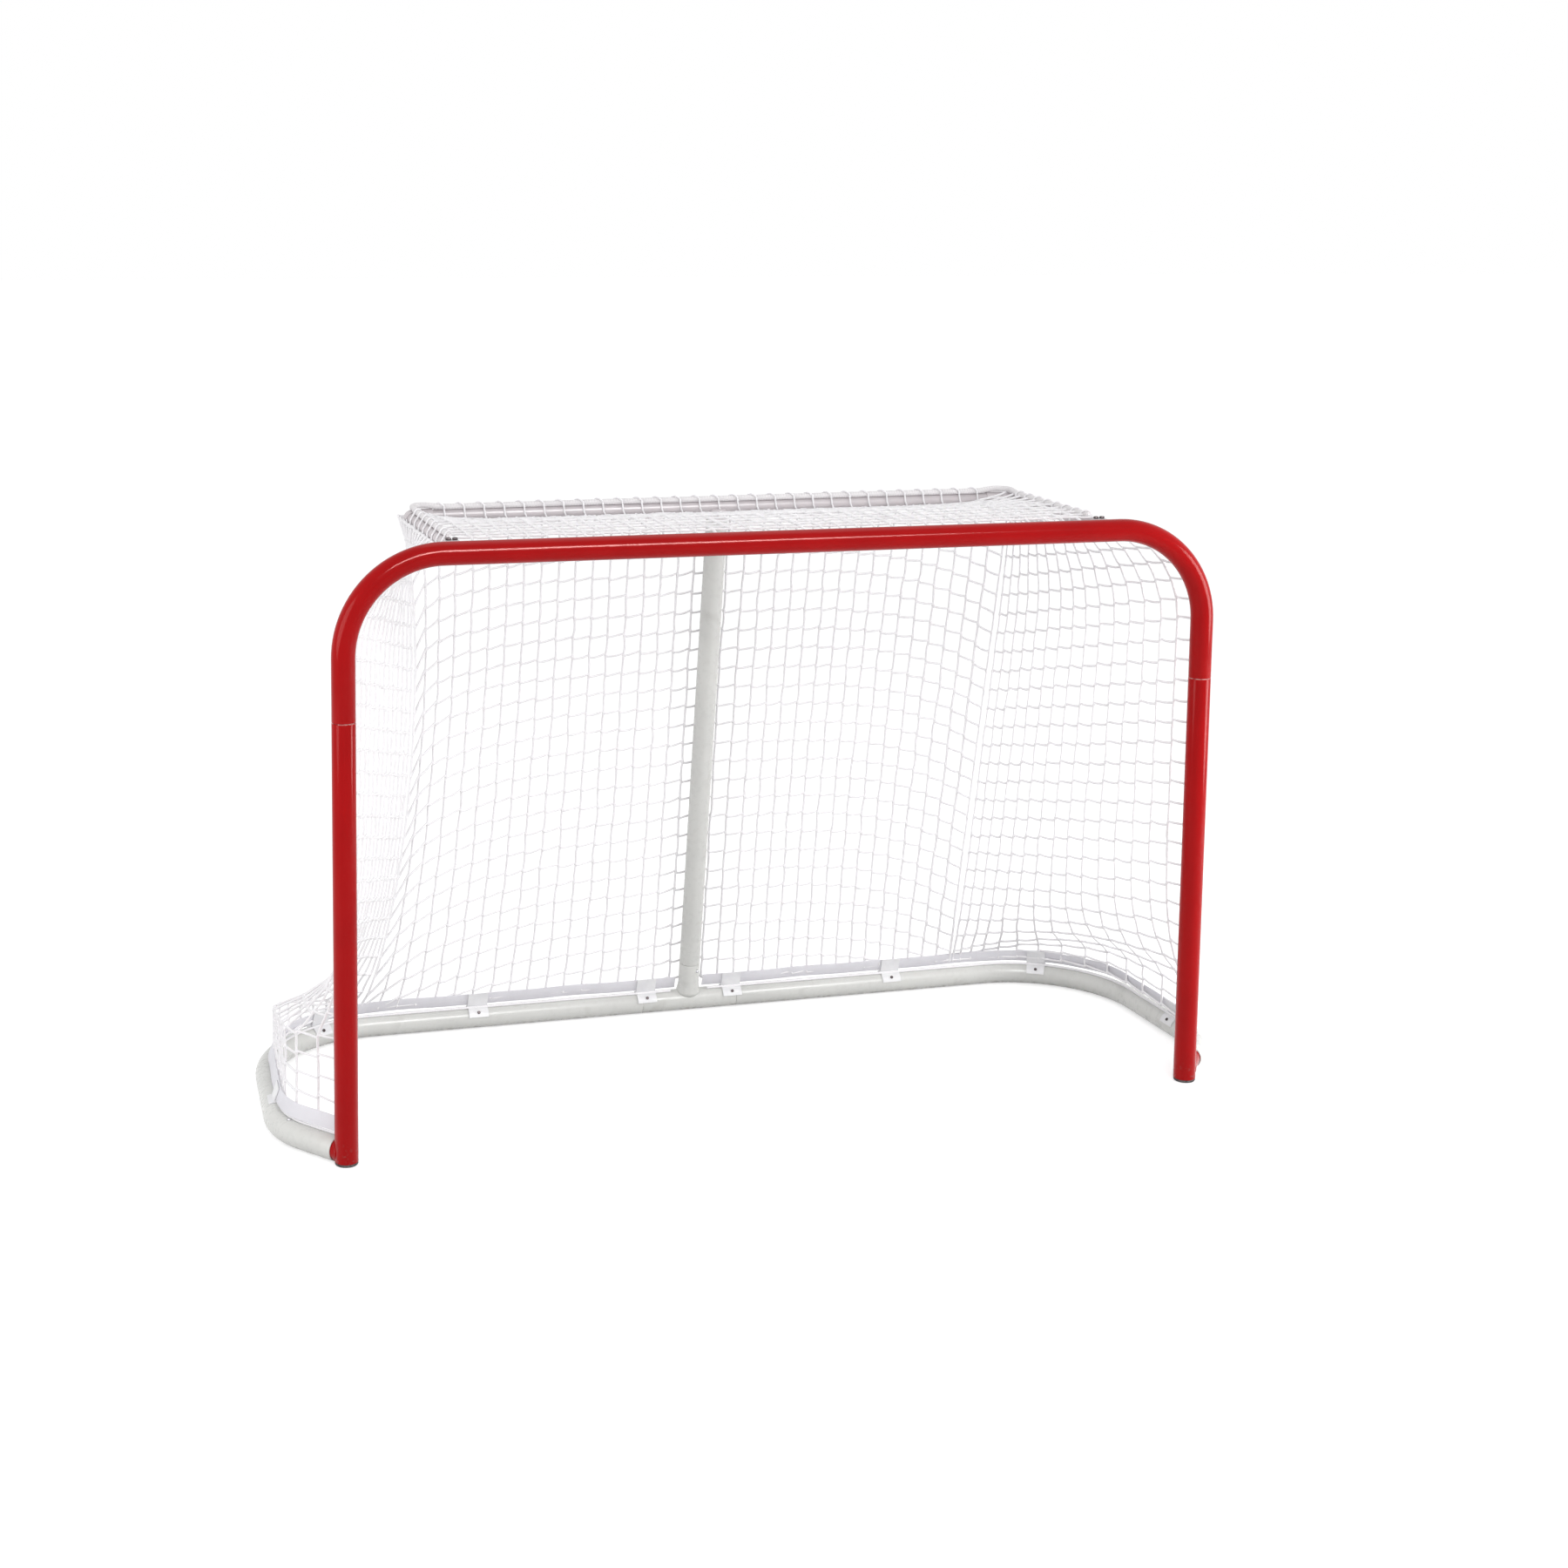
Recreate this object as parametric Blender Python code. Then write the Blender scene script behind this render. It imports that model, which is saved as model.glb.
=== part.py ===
"""Hockey goal: a red tube frame on a curved white base, a rear rail on a leaning post, and a cord net."""

import math

import bpy
import bmesh
import numpy as np

# Overall sizes in metres: outer width of the posts 1.900, height 1.250, depth 0.750
FRAME_R = 0.024
FRAME_BORE = 0.022
POST_X = 0.926
POST_Y = -0.351
BAR_Z = 1.226
BEND_R = 0.200
SEAM_Z = 0.900
FOOT_Z = 0.006
BOW_STEPS = 7

# Clearances that repeat: between pieces that touch, and round a sleeve inside a tube
GAP = 0.0003
SLEEVE_GAP = 0.0004
SLEEVE_WALL = 0.0016
POST_SLEEVE_HALF = 0.060

# Sides of round pieces, and how far a cutting tool reaches
TUBE_SIDES = 20
RAIL_SIDES = 16
TURNED_SIDES = 24
SMALL_SIDES = 16
SCREW_SIDES = 10
CUT_SIDES = 40
RAIL_CUT_SIDES = 32
CUT_HALF = 0.050
LONG_CUT = 0.200
POST_CUT = (-0.010, 0.080)

# The base tube lies on the floor: straight out of the post, a quick bend, a nearly straight side,
# a wide corner and a straight back
BASE_R = 0.0245
BASE_BORE = 0.0224
BACK_Y = 0.3505
SPLAY = math.radians(38.0)
SPLAY_LENGTH = 0.120
SIDE_BEND_R = 0.190
TAPER = math.radians(3.0)
CORNER_R = 0.275
BEND_STEP = math.radians(10.0)
MARK_SPACE = 0.005

# Red stub welded to the post's foot, and the spring button that locks the white tube on it. The left
# tube is pushed home against its post, and the right one stands off it and shows the stub.
STUB_R = 0.0219
STUB_BORE = 0.0199
STUB_END = 0.200
BASE_START = {"left": 0.0255, "right": 0.075}
BASE_BUTTON_S = 0.165
BUTTON_R = 0.0038
BUTTON_HOLE_R = 0.0042
BUTTON_CUT = (0.012, 0.030)

# Tee in the middle of the back, and the post that leans forward from it to the rail
TEE_HALF = 0.115
TEE_SOCKET = 0.095
TEE_FLOOR = 0.035
TEE_SLEEVE_IN = 0.050
TEE_SLEEVE_OUT = 0.060
CENTRE_SLEEVE = (0.050, 0.140)
POST_GAP = 0.0006
SADDLE_NECK = 0.012
CENTRE_R = 0.024
CENTRE_BORE = 0.022
TEE_BUTTON_T = 0.080
TEE_BUTTON_TURN = math.radians(35.0)

# Rear rail and its two arms
RAIL_R = 0.0125
RAIL_BORE = 0.0109
RAIL_Y = 0.167
RAIL_Z = 1.228
ARM_X = 0.701
ELBOW_R = 0.0150
ELBOW_BEND = 0.030
ELBOW_LEG = 0.022
ELBOW_BORE = 0.0128
ELBOW_SPACE = 0.002
ELBOW_STEPS = 5
ARM_FRONT_Y = POST_Y + 0.0605

# Brackets behind the crossbar, each with two dark bolts on top
BRACKET_HALF_X = 0.0135
BRACKET_Y = (0.012, 0.060)
BRACKET_Z = (1.2155, 1.2450)
BRACKET_BOLT_X = 0.0068
BRACKET_BOLT_Y = 0.049
SPIGOT_ROOT = 0.004
BOLT_HOLE_R = 0.0031
BOLT_HOLE = (-0.012, 0.005)

# Net band and the clips that hold it over the base tube
BAND_LOW = (0.003, 0.0560)
BAND_HIGH = (0.013, 0.0845)
BAND_T = 0.0020
BAND_START = 0.030
BAND_JOINT_HALF = 0.001
BAND_POST_GAP = 0.034
CLIP_HALF = 0.023
CLIP_T = 0.0026
CLIP_PLACES = (0.286, 0.757, 1.137, 1.542)
CLIP_FROM = math.radians(15.0)
CLIP_TO = math.radians(118.0)
CLIP_JAW_IN = math.radians(95.5)
CLIP_JAW_OUT = math.radians(78.0)
JAW_T = 0.0024
JAW_FLOOR = -0.0006
JAW_BACK_RISE = 0.025
JAW_FRONT_RISE = 0.031
SCREW_TURN = math.radians(38.0)
SCREW_R = 0.0015
SCREW_HOLE_R = 0.0018
SCREW_HEAD_R = 0.0036

# Net: cells of the coarse form, flat strands, and where the surface runs beside the tubes
NET_BACK_CELLS = 12
NET_SIDE_CELLS = 6
NET_HEIGHT_CELLS = 9
NET_TOP_CELLS = 4
NET_W = 0.0060
NET_T = 0.0050
NET_SHRINK = 0.08
NET_OUTSIDE = 0.0185
NET_LOW_RISE = 0.005
NET_FOLD_X = 0.700
NET_BEHIND_POST = 0.0292
NET_ROOF_Z = 1.2465
NET_ROOF_FRONT = 0.067
NET_ROOF_INSET = 0.004
NET_TOP_DROP = 0.004
NET_BAR_DROP = 0.002
NET_FRONT = 0.032
NET_FIRST = 0.036
NET_BAND_GAP = 0.001
NET_PUSHED_HALF = 0.115
NET_NUDGE = 0.01

# Turned pieces, each an outline of (radius, height) pairs from axis to axis
PLUG_OUTLINE = ((0, 0), (0.0215, 0), (0.0236, 0.0018), (0.0236, 0.0057), (0.0215, 0.0057),
                (0.0210, 0.028), (0, 0.028))
BASE_BUTTON_OUTLINE = ((0, 0.0165), (0.0054, 0.0165), (0.0054, 0.0180), (BUTTON_R, 0.0180),
                       (BUTTON_R, 0.0258), (0.0026, 0.0272), (0, 0.0276))
POST_BUTTON_OUTLINE = ((0, 0.0165), (0.0052, 0.0165), (0.0052, 0.0178), (BUTTON_R, 0.0178),
                       (BUTTON_R, 0.0252), (0.0026, 0.0266), (0, 0.0270))
SOCKET_OUTLINE = ((0, 0.002), (0.012, 0.002), (0.0280, 0.0225), (0.0255, 0.034), (CENTRE_R, 0.046),
                  (CENTRE_R, TEE_SOCKET), (0, TEE_SOCKET))
SADDLE_OUTLINE = ((0, -0.060), (0.0200, -0.060), (0.0214, -0.056), (0.0214, -0.0242),
                  (CENTRE_R, -0.0242), (CENTRE_R, -0.016), (0.0200, -0.002), (0, -0.002))
SPIGOT_OUTLINE = ((0, 0), (RAIL_BORE - SLEEVE_GAP, 0), (RAIL_BORE - SLEEVE_GAP, 0.026),
                  (0.0090, 0.030), (0, 0.030))
BOLT_OUTLINE = ((0, -0.0115), (0.0028, -0.0115), (0.0028, 0.0003), (0.0056, 0.0003),
                (0.0056, 0.0034), (0.0046, 0.0045), (0, 0.0045))

# A direction that no turned piece points in
OFF_AXIS = (0.31, 0.95, 0.07)

# Points this close after a Boolean are one point
MERGE = 0.00001


def material(name, colour, roughness, metallic=0.0):
    """A plain Principled material."""
    made = bpy.data.materials.new(name)
    made.use_nodes = True
    shader = made.node_tree.nodes["Principled BSDF"]
    shader.inputs["Base Color"].default_value = (*colour, 1.0)
    shader.inputs["Roughness"].default_value = roughness
    shader.inputs["Metallic"].default_value = metallic
    made.diffuse_color = (*colour, 1.0)
    return made


def unit(vector):
    """The vector at length one."""
    vector = np.asarray(vector, float)
    return vector / np.linalg.norm(vector)


def add_mesh(name, points, faces, look, sharp_deg=35.0):
    """One object from points and faces, with its faces turned outwards."""
    mesh = bpy.data.meshes.new(name)
    mesh.from_pydata([tuple(map(float, p)) for p in points], [], faces)
    work = bmesh.new()
    work.from_mesh(mesh)
    bmesh.ops.recalc_face_normals(work, faces=work.faces)
    work.to_mesh(mesh)
    work.free()
    mesh.materials.append(look)
    mesh.shade_smooth()
    mesh.set_sharp_from_angle(angle=math.radians(sharp_deg))
    made = bpy.data.objects.new(name, mesh)
    bpy.context.scene.collection.objects.link(made)
    return made


def sweep(name, path, tangents, up, rings, look, sharp_deg=35.0):
    """Closed cross-sections swept along a path: one ring gives a bar, two give a pipe with open ends.

    Each ring is a list of (across, along up) offsets, where across is up x tangent.
    """
    points = []
    for centre, tangent in zip(path, tangents):
        across = unit(np.cross(up, tangent))
        for ring in rings:
            points += [np.asarray(centre) + a * across + u * np.asarray(up) for a, u in ring]
    sides = len(rings[0])
    stride = sides * len(rings)
    last = (len(path) - 1) * stride
    faces = []
    for row in range(len(path) - 1):
        for ring in range(len(rings)):
            start = row * stride + ring * sides
            for k in range(sides):
                n = (k + 1) % sides
                faces.append((start + k, start + n, start + n + stride, start + k + stride))
    if len(rings) == 1:
        faces.append(tuple(range(sides)))
        faces.append(tuple(range(last, last + sides)))
    else:
        for start in (0, last):
            for k in range(sides):
                n = (k + 1) % sides
                faces.append((start + k, start + n, start + n + sides, start + k + sides))
    return add_mesh(name, points, faces, look, sharp_deg)


def circle(radius, sides):
    """A ring of offsets for sweep."""
    turns = [math.tau * k / sides for k in range(sides)]
    return [(radius * math.cos(t), radius * math.sin(t)) for t in turns]


def pipe(name, path, tangents, up, outer, bore, sides, look):
    """A pipe along a path that lies in the plane square to up."""
    return sweep(name, path, tangents, up, [circle(outer, sides), circle(bore, sides)], look)


def straight(start, end):
    """Path and tangents of a straight piece."""
    start, end = np.asarray(start, float), np.asarray(end, float)
    along = unit(end - start)
    return [start, end], [along, along]


def turned(name, base, axis, profile, sides, look, sharp_deg=35.0):
    """A solid of revolution about an axis from base; the profile is (radius, height) pairs, axis to axis."""
    axis = unit(axis)
    side = unit(np.cross(axis, OFF_AXIS))
    other = np.cross(axis, side)
    base = np.asarray(base, float)
    middle = profile[1:-1]
    points = [base + profile[0][1] * axis, base + profile[-1][1] * axis]
    for radius, height in middle:
        for k in range(sides):
            turn = math.tau * k / sides
            outward = math.cos(turn) * side + math.sin(turn) * other
            points.append(base + height * axis + radius * outward)
    faces = []
    for k in range(sides):
        n = (k + 1) % sides
        faces.append((0, 2 + n, 2 + k))
        top = 2 + (len(middle) - 1) * sides
        faces.append((1, top + k, top + n))
        for row in range(len(middle) - 1):
            a = 2 + row * sides
            faces.append((a + k, a + n, a + n + sides, a + k + sides))
    return add_mesh(name, points, faces, look, sharp_deg)


def combine(body, tool, operation):
    """Applies an exact Boolean to the body and removes the tool."""
    step = body.modifiers.new("Step", "BOOLEAN")
    step.operation = operation
    step.solver = "EXACT"
    step.object = tool
    bpy.context.view_layer.update()
    graph = bpy.context.evaluated_depsgraph_get()
    result = bpy.data.meshes.new_from_object(body.evaluated_get(graph))
    body.modifiers.remove(step)
    work = bmesh.new()
    work.from_mesh(result)
    bmesh.ops.remove_doubles(work, verts=work.verts, dist=MERGE)
    bmesh.ops.dissolve_degenerate(work, edges=work.edges, dist=MERGE)
    work.to_mesh(result)
    work.free()
    old = body.data
    body.data = result
    bpy.data.meshes.remove(old)
    bpy.data.objects.remove(tool)


def drill(body, base, axis, radius, low, high, sides=SMALL_SIDES):
    """Cuts a round hole from low to high along an axis."""
    tool = turned("drill", base, axis, [(0, low), (radius, low), (radius, high), (0, high)], sides, STEEL)
    combine(body, tool, "DIFFERENCE")


def sleeve(name, start, end, up, tube_bore):
    """A steel sleeve inside a joint of two tubes, a sliding fit in their bore."""
    path, tangents = straight(start, end)
    outer = tube_bore - SLEEVE_GAP
    return pipe(name, path, tangents, up, outer, outer - SLEEVE_WALL, TUBE_SIDES, STEEL)


def base_pieces():
    """Lengths of the base curve's five pieces, from the right post's axis to the middle of the back."""
    drop = BACK_Y - POST_Y - SPLAY_LENGTH * math.cos(SPLAY)
    drop -= SIDE_BEND_R * (math.sin(SPLAY) + math.sin(TAPER)) + CORNER_R * (1 - math.sin(TAPER))
    side = drop / math.cos(TAPER)
    x = POST_X + SPLAY_LENGTH * math.sin(SPLAY) + SIDE_BEND_R * (math.cos(TAPER) - math.cos(SPLAY))
    x -= side * math.sin(TAPER) + CORNER_R * math.cos(TAPER)
    return (SPLAY_LENGTH, SIDE_BEND_R * (SPLAY + TAPER), side, CORNER_R * (math.pi / 2 - TAPER), x)


BASE_PIECES = base_pieces()
BASE_HALF = sum(BASE_PIECES)


def base_at(s):
    """Point and tangent of the base, s metres along it from the right post; past BASE_HALF it mirrors."""
    if s > BASE_HALF:
        (x, y), (tx, ty) = base_at(2 * BASE_HALF - s)
        return (-x, y), (tx, -ty)
    bends = (
        (SPLAY, 0.0),
        (SPLAY, SIDE_BEND_R),
        (-TAPER, 0.0),
        (-TAPER, CORNER_R),
        (-math.pi / 2, 0.0),
    )
    x, y = POST_X, POST_Y
    for length, (heading, radius) in zip(BASE_PIECES, bends):
        step = min(s, length)
        s -= step
        if radius:
            after = heading - step / radius
            x += radius * (math.cos(after) - math.cos(heading))
            y += radius * (math.sin(heading) - math.sin(after))
        else:
            after = heading
            x += step * math.sin(heading)
            y += step * math.cos(heading)
        if s <= 0:
            break
    return (x, y), (math.sin(after), math.cos(after))


def base_path(start, end, z, side=1):
    """Path and tangents along the base from start to end, close-set in bends; side -1 is the left half.

    The stub's end and each clip's two ends and middle are on the path, so that the pieces turn together.
    """
    marks = [0.0]
    for length, radius in zip(BASE_PIECES, (0.0, SIDE_BEND_R, 0.0, CORNER_R, 0.0)):
        parts = max(1, round(length / radius / BEND_STEP)) if radius else 1
        marks += [marks[-1] + length * (k + 1) / parts for k in range(parts)]
    marks = [m for m in marks if min(abs(m - place) for place in CLIP_PLACES) > CLIP_HALF + MARK_SPACE]
    marks += [place + off for place in CLIP_PLACES for off in (-CLIP_HALF, 0.0, CLIP_HALF)]
    marks.append(STUB_END)
    inner = [m for m in sorted(marks) if start + MARK_SPACE < m < end - MARK_SPACE]
    path, tangents = [], []
    for s in [start, *inner, end]:
        (x, y), (tx, ty) = base_at(s)
        path.append((side * x, y, z))
        tangents.append((side * tx, ty, 0.0))
    return path, tangents


def bow_path():
    """Path and tangents of the crossbar, its two corner bends and short legs, from seam to seam."""
    low = SEAM_Z + GAP
    right = [((POST_X, low), (0, -1)), ((POST_X, BAR_Z - BEND_R), (0, -1))]
    for k in range(1, BOW_STEPS):
        turn = math.pi / 2 * k / BOW_STEPS
        at = (POST_X - BEND_R + BEND_R * math.cos(turn), BAR_Z - BEND_R + BEND_R * math.sin(turn))
        right.append((at, (math.sin(turn), -math.cos(turn))))
    right.append(((POST_X - BEND_R, BAR_Z), (1, 0)))
    path = [(-x, POST_Y, z) for (x, z), _ in right]
    path += [(x, POST_Y, z) for (x, z), _ in reversed(right)]
    tangents = [(tx, 0, -tz) for _, (tx, tz) in right]
    tangents += [(tx, 0, tz) for _, (tx, tz) in reversed(right)]
    return path, tangents


def net_top_point(u):
    """A point on the top edge of the net's walls: left arm, rail, right arm; u counts cells."""
    sides, back = NET_SIDE_CELLS, NET_BACK_CELLS
    front = np.array([ARM_X + NET_OUTSIDE, POST_Y + NET_FRONT, RAIL_Z - NET_TOP_DROP])
    corner = np.array([ARM_X + NET_OUTSIDE, RAIL_Y + NET_OUTSIDE, RAIL_Z - NET_TOP_DROP])
    if u <= sides:
        point = front + (corner - front) * u / sides
        return point * (-1, 1, 1)
    if u >= sides + back:
        return front + (corner - front) * (2 * sides + back - u) / sides
    return corner * (-1 + 2 * (u - sides) / back, 1, 1)


def net_low_point(u):
    """A point on the bottom edge of the net's walls, along the top edge of the band."""
    sides, back = NET_SIDE_CELLS, NET_BACK_CELLS
    fold = BASE_HALF - NET_FOLD_X
    total = 2 * sides + back
    if u > total / 2:
        return net_low_point(total - u) * (-1, 1, 1)
    if u <= sides:
        s = NET_FIRST + (fold - NET_FIRST) * u / sides
    else:
        s = fold + (BASE_HALF - fold) * (u - sides) / (back / 2)
    (x, y), (tx, ty) = base_at(s)
    inward = BAND_HIGH[0] + NET_BAND_GAP
    return np.array([-(x - inward * ty), y + inward * tx, BAND_HIGH[1] + NET_LOW_RISE])


def net_front_point(v):
    """A point behind the left bend and post, from the arm's front end down; v runs from 0 to 1."""
    across = POST_X - BEND_R - ARM_X - NET_OUTSIDE
    low = BAND_HIGH[1] + NET_LOW_RISE
    lengths = (across, BEND_R * math.pi / 2, BAR_Z - BEND_R - low)
    s = v * sum(lengths)
    y = POST_Y + NET_FRONT
    if s < lengths[0]:
        return np.array([-(ARM_X + NET_OUTSIDE + s), y, BAR_Z - NET_BAR_DROP])
    s -= lengths[0]
    if s < lengths[1]:
        turn = math.pi / 2 - s / BEND_R
        x = POST_X - BEND_R + BEND_R * math.cos(turn)
        return np.array([-x, y, BAR_Z - NET_BAR_DROP - BEND_R + BEND_R * math.sin(turn)])
    return np.array([-POST_X, y, BAR_Z - BEND_R - (s - lengths[1])])


def net_wall_point(u, v):
    """A point of the net's walls: straight from top edge to low edge, drawn to the post at each front."""
    total = 2 * NET_SIDE_CELLS + NET_BACK_CELLS
    if u > total / 2:
        return net_wall_point(total - u, v) * (-1, 1, 1)
    point = (1 - v) * net_top_point(u) + v * net_low_point(u)
    if u < NET_SIDE_CELLS:
        pull = (1 - u / NET_SIDE_CELLS) ** 2
        first = (1 - v) * net_top_point(0) + v * net_low_point(0)
        point = point + pull * (net_front_point(v) - first)
    # Behind the centre post the net is pushed back round it
    slope = (BACK_Y - RAIL_Y) / (RAIL_Z - BASE_R)
    behind = RAIL_Y + (RAIL_Z - point[2]) * slope + NET_BEHIND_POST
    pushed = max(0.0, 1 - abs(point[0]) / NET_PUSHED_HALF)
    point[1] += pushed * (behind - point[1])
    return point


def net_roof_point(u, v):
    """A point of the net's roof, which lies over the arms and the rail; u and v run from 0 to 1."""
    x = ARM_X + NET_OUTSIDE - NET_ROOF_INSET
    front = POST_Y + NET_ROOF_FRONT
    back = RAIL_Y + NET_OUTSIDE - NET_ROOF_INSET
    return np.array([x * (2 * u - 1), front + (back - front) * v, NET_ROOF_Z])


def net_panel(name, surface, cells_u, cells_v, look):
    """A coarse net of flat strands: a bar on every cell edge of surface(i, j), a hole in each cell."""

    def position(i, j, di, dj):
        after, before = min(i + NET_NUDGE, cells_u), max(i - NET_NUDGE, 0)
        along = unit(surface(after, j) - surface(before, j))
        lower, upper = min(j + NET_NUDGE, cells_v), max(j - NET_NUDGE, 0)
        down = unit(surface(i, lower) - surface(i, upper))
        normal = unit(np.cross(along, down))
        centre = surface(i, j) + di * NET_W / 2 * along + dj * NET_W / 2 * down
        return centre + NET_T / 2 * normal, centre - NET_T / 2 * normal

    index = {}
    points = []
    for i in range(cells_u + 1):
        for j in range(cells_v + 1):
            for di in (-1, 1):
                for dj in (-1, 1):
                    index[i, j, di, dj] = len(points)
                    points += position(i, j, di, dj)
    faces = []

    def patch(a, b, c, d):
        faces.append((a, b, c, d))
        faces.append((a + 1, b + 1, c + 1, d + 1))

    def wall(a, b):
        faces.append((a, b, b + 1, a + 1))

    for i in range(cells_u + 1):
        for j in range(cells_v + 1):
            here = [index[i, j, *corner] for corner in ((-1, -1), (1, -1), (1, 1), (-1, 1))]
            patch(*here)
            if i < cells_u:
                right = [index[i + 1, j, -1, -1], index[i + 1, j, -1, 1]]
                patch(here[1], right[0], right[1], here[2])
                wall(here[1], right[0])
                wall(here[2], right[1])
            else:
                wall(here[1], here[2])
            if i == 0:
                wall(here[0], here[3])
            if j < cells_v:
                below = [index[i, j + 1, -1, -1], index[i, j + 1, 1, -1]]
                patch(here[3], here[2], below[1], below[0])
                wall(here[3], below[0])
                wall(here[2], below[1])
            else:
                wall(here[3], here[2])
            if j == 0:
                wall(here[0], here[1])
    return add_mesh(name, points, faces, look, 30.0)


for thing in list(bpy.data.objects):
    bpy.data.objects.remove(thing)

RED = material("frame_red", (0.52, 0.010, 0.014), 0.28)
WHITE = material("base_white", (0.66, 0.66, 0.63), 0.35)
RAIL_WHITE = material("rail_white", (0.62, 0.61, 0.62), 0.40)
STEEL = material("steel", (0.50, 0.50, 0.52), 0.35, 1.0)
DARK = material("dark_bolt", (0.06, 0.05, 0.06), 0.45, 1.0)
PLUG = material("plug_rubber", (0.035, 0.030, 0.032), 0.70)
CLIP = material("clip_white", (0.74, 0.74, 0.75), 0.45)
BAND = material("band_grey", (0.56, 0.55, 0.60), 0.55)
CORD = material("net_cord", (0.78, 0.77, 0.79), 0.85)

UP = (0.0, 0.0, 1.0)
RIGHT = (1.0, 0.0, 0.0)
BACK = (0.0, 1.0, 0.0)
SIDES = ((-1, "left"), (1, "right"))

# Front frame: one bent crossbar, two posts joined to it at the seams, and their feet
bar_path, bar_tangents = bow_path()
pipe("crossbar", bar_path, bar_tangents, BACK, FRAME_R, FRAME_BORE, TUBE_SIDES, RED)

for side, word in SIDES:
    post_axis = (side * POST_X, POST_Y, 0.0)
    x = side * POST_X
    path, tangents = straight((x, POST_Y, FOOT_Z), (x, POST_Y, SEAM_Z - GAP))
    pipe(f"{word}_post", path, tangents, BACK, FRAME_R, FRAME_BORE, TUBE_SIDES, RED)
    low_end, high_end = SEAM_Z - POST_SLEEVE_HALF, SEAM_Z + POST_SLEEVE_HALF
    sleeve(f"{word}_post_sleeve", (x, POST_Y, low_end), (x, POST_Y, high_end), BACK, FRAME_BORE)
    turned(f"{word}_foot_plug", post_axis, UP, PLUG_OUTLINE, TURNED_SIDES, PLUG)

    # The stub starts on the post's axis and is cut to the post's round side
    path, tangents = base_path(0.0, STUB_END, BASE_R, side)
    stub = pipe(f"{word}_foot_stub", path, tangents, UP, STUB_R, STUB_BORE, TUBE_SIDES, RED)
    drill(stub, post_axis, UP, FRAME_R + GAP, *POST_CUT, CUT_SIDES)

    path, tangents = base_path(BASE_START[word], BASE_HALF - TEE_HALF, BASE_R, side)
    tube = pipe(f"{word}_base_tube", path, tangents, UP, BASE_R, BASE_BORE, TUBE_SIDES, WHITE)
    (bx, by), _ = base_at(BASE_BUTTON_S)
    centre = (side * bx, by, BASE_R)
    drill(tube, centre, UP, BUTTON_HOLE_R, *BUTTON_CUT)
    drill(stub, centre, UP, BUTTON_HOLE_R, *BUTTON_CUT)
    button = turned(f"{word}_base_button", (0, 0, 0), UP, BASE_BUTTON_OUTLINE, SMALL_SIDES, STEEL)
    button.location = centre

# Tee: a length of base tube with a leaning socket welded on, each bored from its own ends
lean = unit((0, RAIL_Y - BACK_Y, RAIL_Z - BASE_R))
tee_centre = np.array([0, BACK_Y, BASE_R])
half = TEE_HALF - GAP
through = [(0, -half), (BASE_R, -half), (BASE_R, half), (0, half)]
tee = turned("base_tee", tee_centre, RIGHT, through, TURNED_SIDES, WHITE)
combine(tee, turned("socket", tee_centre, lean, SOCKET_OUTLINE, TURNED_SIDES, WHITE), "UNION")
drill(tee, tee_centre, RIGHT, BASE_BORE, -LONG_CUT, LONG_CUT, TURNED_SIDES)
drill(tee, tee_centre, lean, CENTRE_BORE, TEE_FLOOR, LONG_CUT, TURNED_SIDES)
to_mouth = unit(np.cross(RIGHT, lean))
tee_facing = math.sin(TEE_BUTTON_TURN) * np.array(RIGHT) + math.cos(TEE_BUTTON_TURN) * to_mouth
tee_button_at = tee_centre + TEE_BUTTON_T * lean
drill(tee, tee_button_at, tee_facing, BUTTON_HOLE_R, *BUTTON_CUT)

for side, word in SIDES:
    start = (side * (TEE_HALF - TEE_SLEEVE_IN), BACK_Y, BASE_R)
    end = (side * (TEE_HALF + TEE_SLEEVE_OUT), BACK_Y, BASE_R)
    sleeve(f"{word}_tee_sleeve", start, end, UP, BASE_BORE)

post_start = tee_centre + (TEE_SOCKET + POST_GAP) * lean
post_length = (RAIL_Z - BASE_R) / lean[2]
post_end = tee_centre + (post_length - RAIL_R - SADDLE_NECK) * lean
path, tangents = straight(post_start, post_end)
pipe("centre_post", path, tangents, RIGHT, CENTRE_R, CENTRE_BORE, TUBE_SIDES, WHITE)
sleeve_ends = [tee_centre + t * lean for t in CENTRE_SLEEVE]
coupler = sleeve("centre_post_sleeve", *sleeve_ends, RIGHT, CENTRE_BORE)
drill(coupler, tee_button_at, tee_facing, BUTTON_HOLE_R, *BUTTON_CUT)
button = turned(
    "centre_post_button", (0, 0, 0), tee_facing, POST_BUTTON_OUTLINE, SMALL_SIDES, STEEL
)
button.location = tee_button_at

# Saddle: a plug in the post's top with a cradle that the rail lies in
saddle_at = tee_centre + post_length * lean
saddle = turned("rail_saddle", saddle_at, lean, SADDLE_OUTLINE, TURNED_SIDES, RAIL_WHITE)
drill(saddle, saddle_at, RIGHT, RAIL_R + GAP, -CUT_HALF, CUT_HALF, RAIL_CUT_SIDES)

# Rear rail, two elbows, two arms, and the brackets that bolt the arms to the crossbar
rail_half = ARM_X - ELBOW_BEND - ELBOW_SPACE
path, tangents = straight((-rail_half, RAIL_Y, RAIL_Z), (rail_half, RAIL_Y, RAIL_Z))
pipe("rear_rail", path, tangents, UP, RAIL_R, RAIL_BORE, RAIL_SIDES, RAIL_WHITE)

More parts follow.
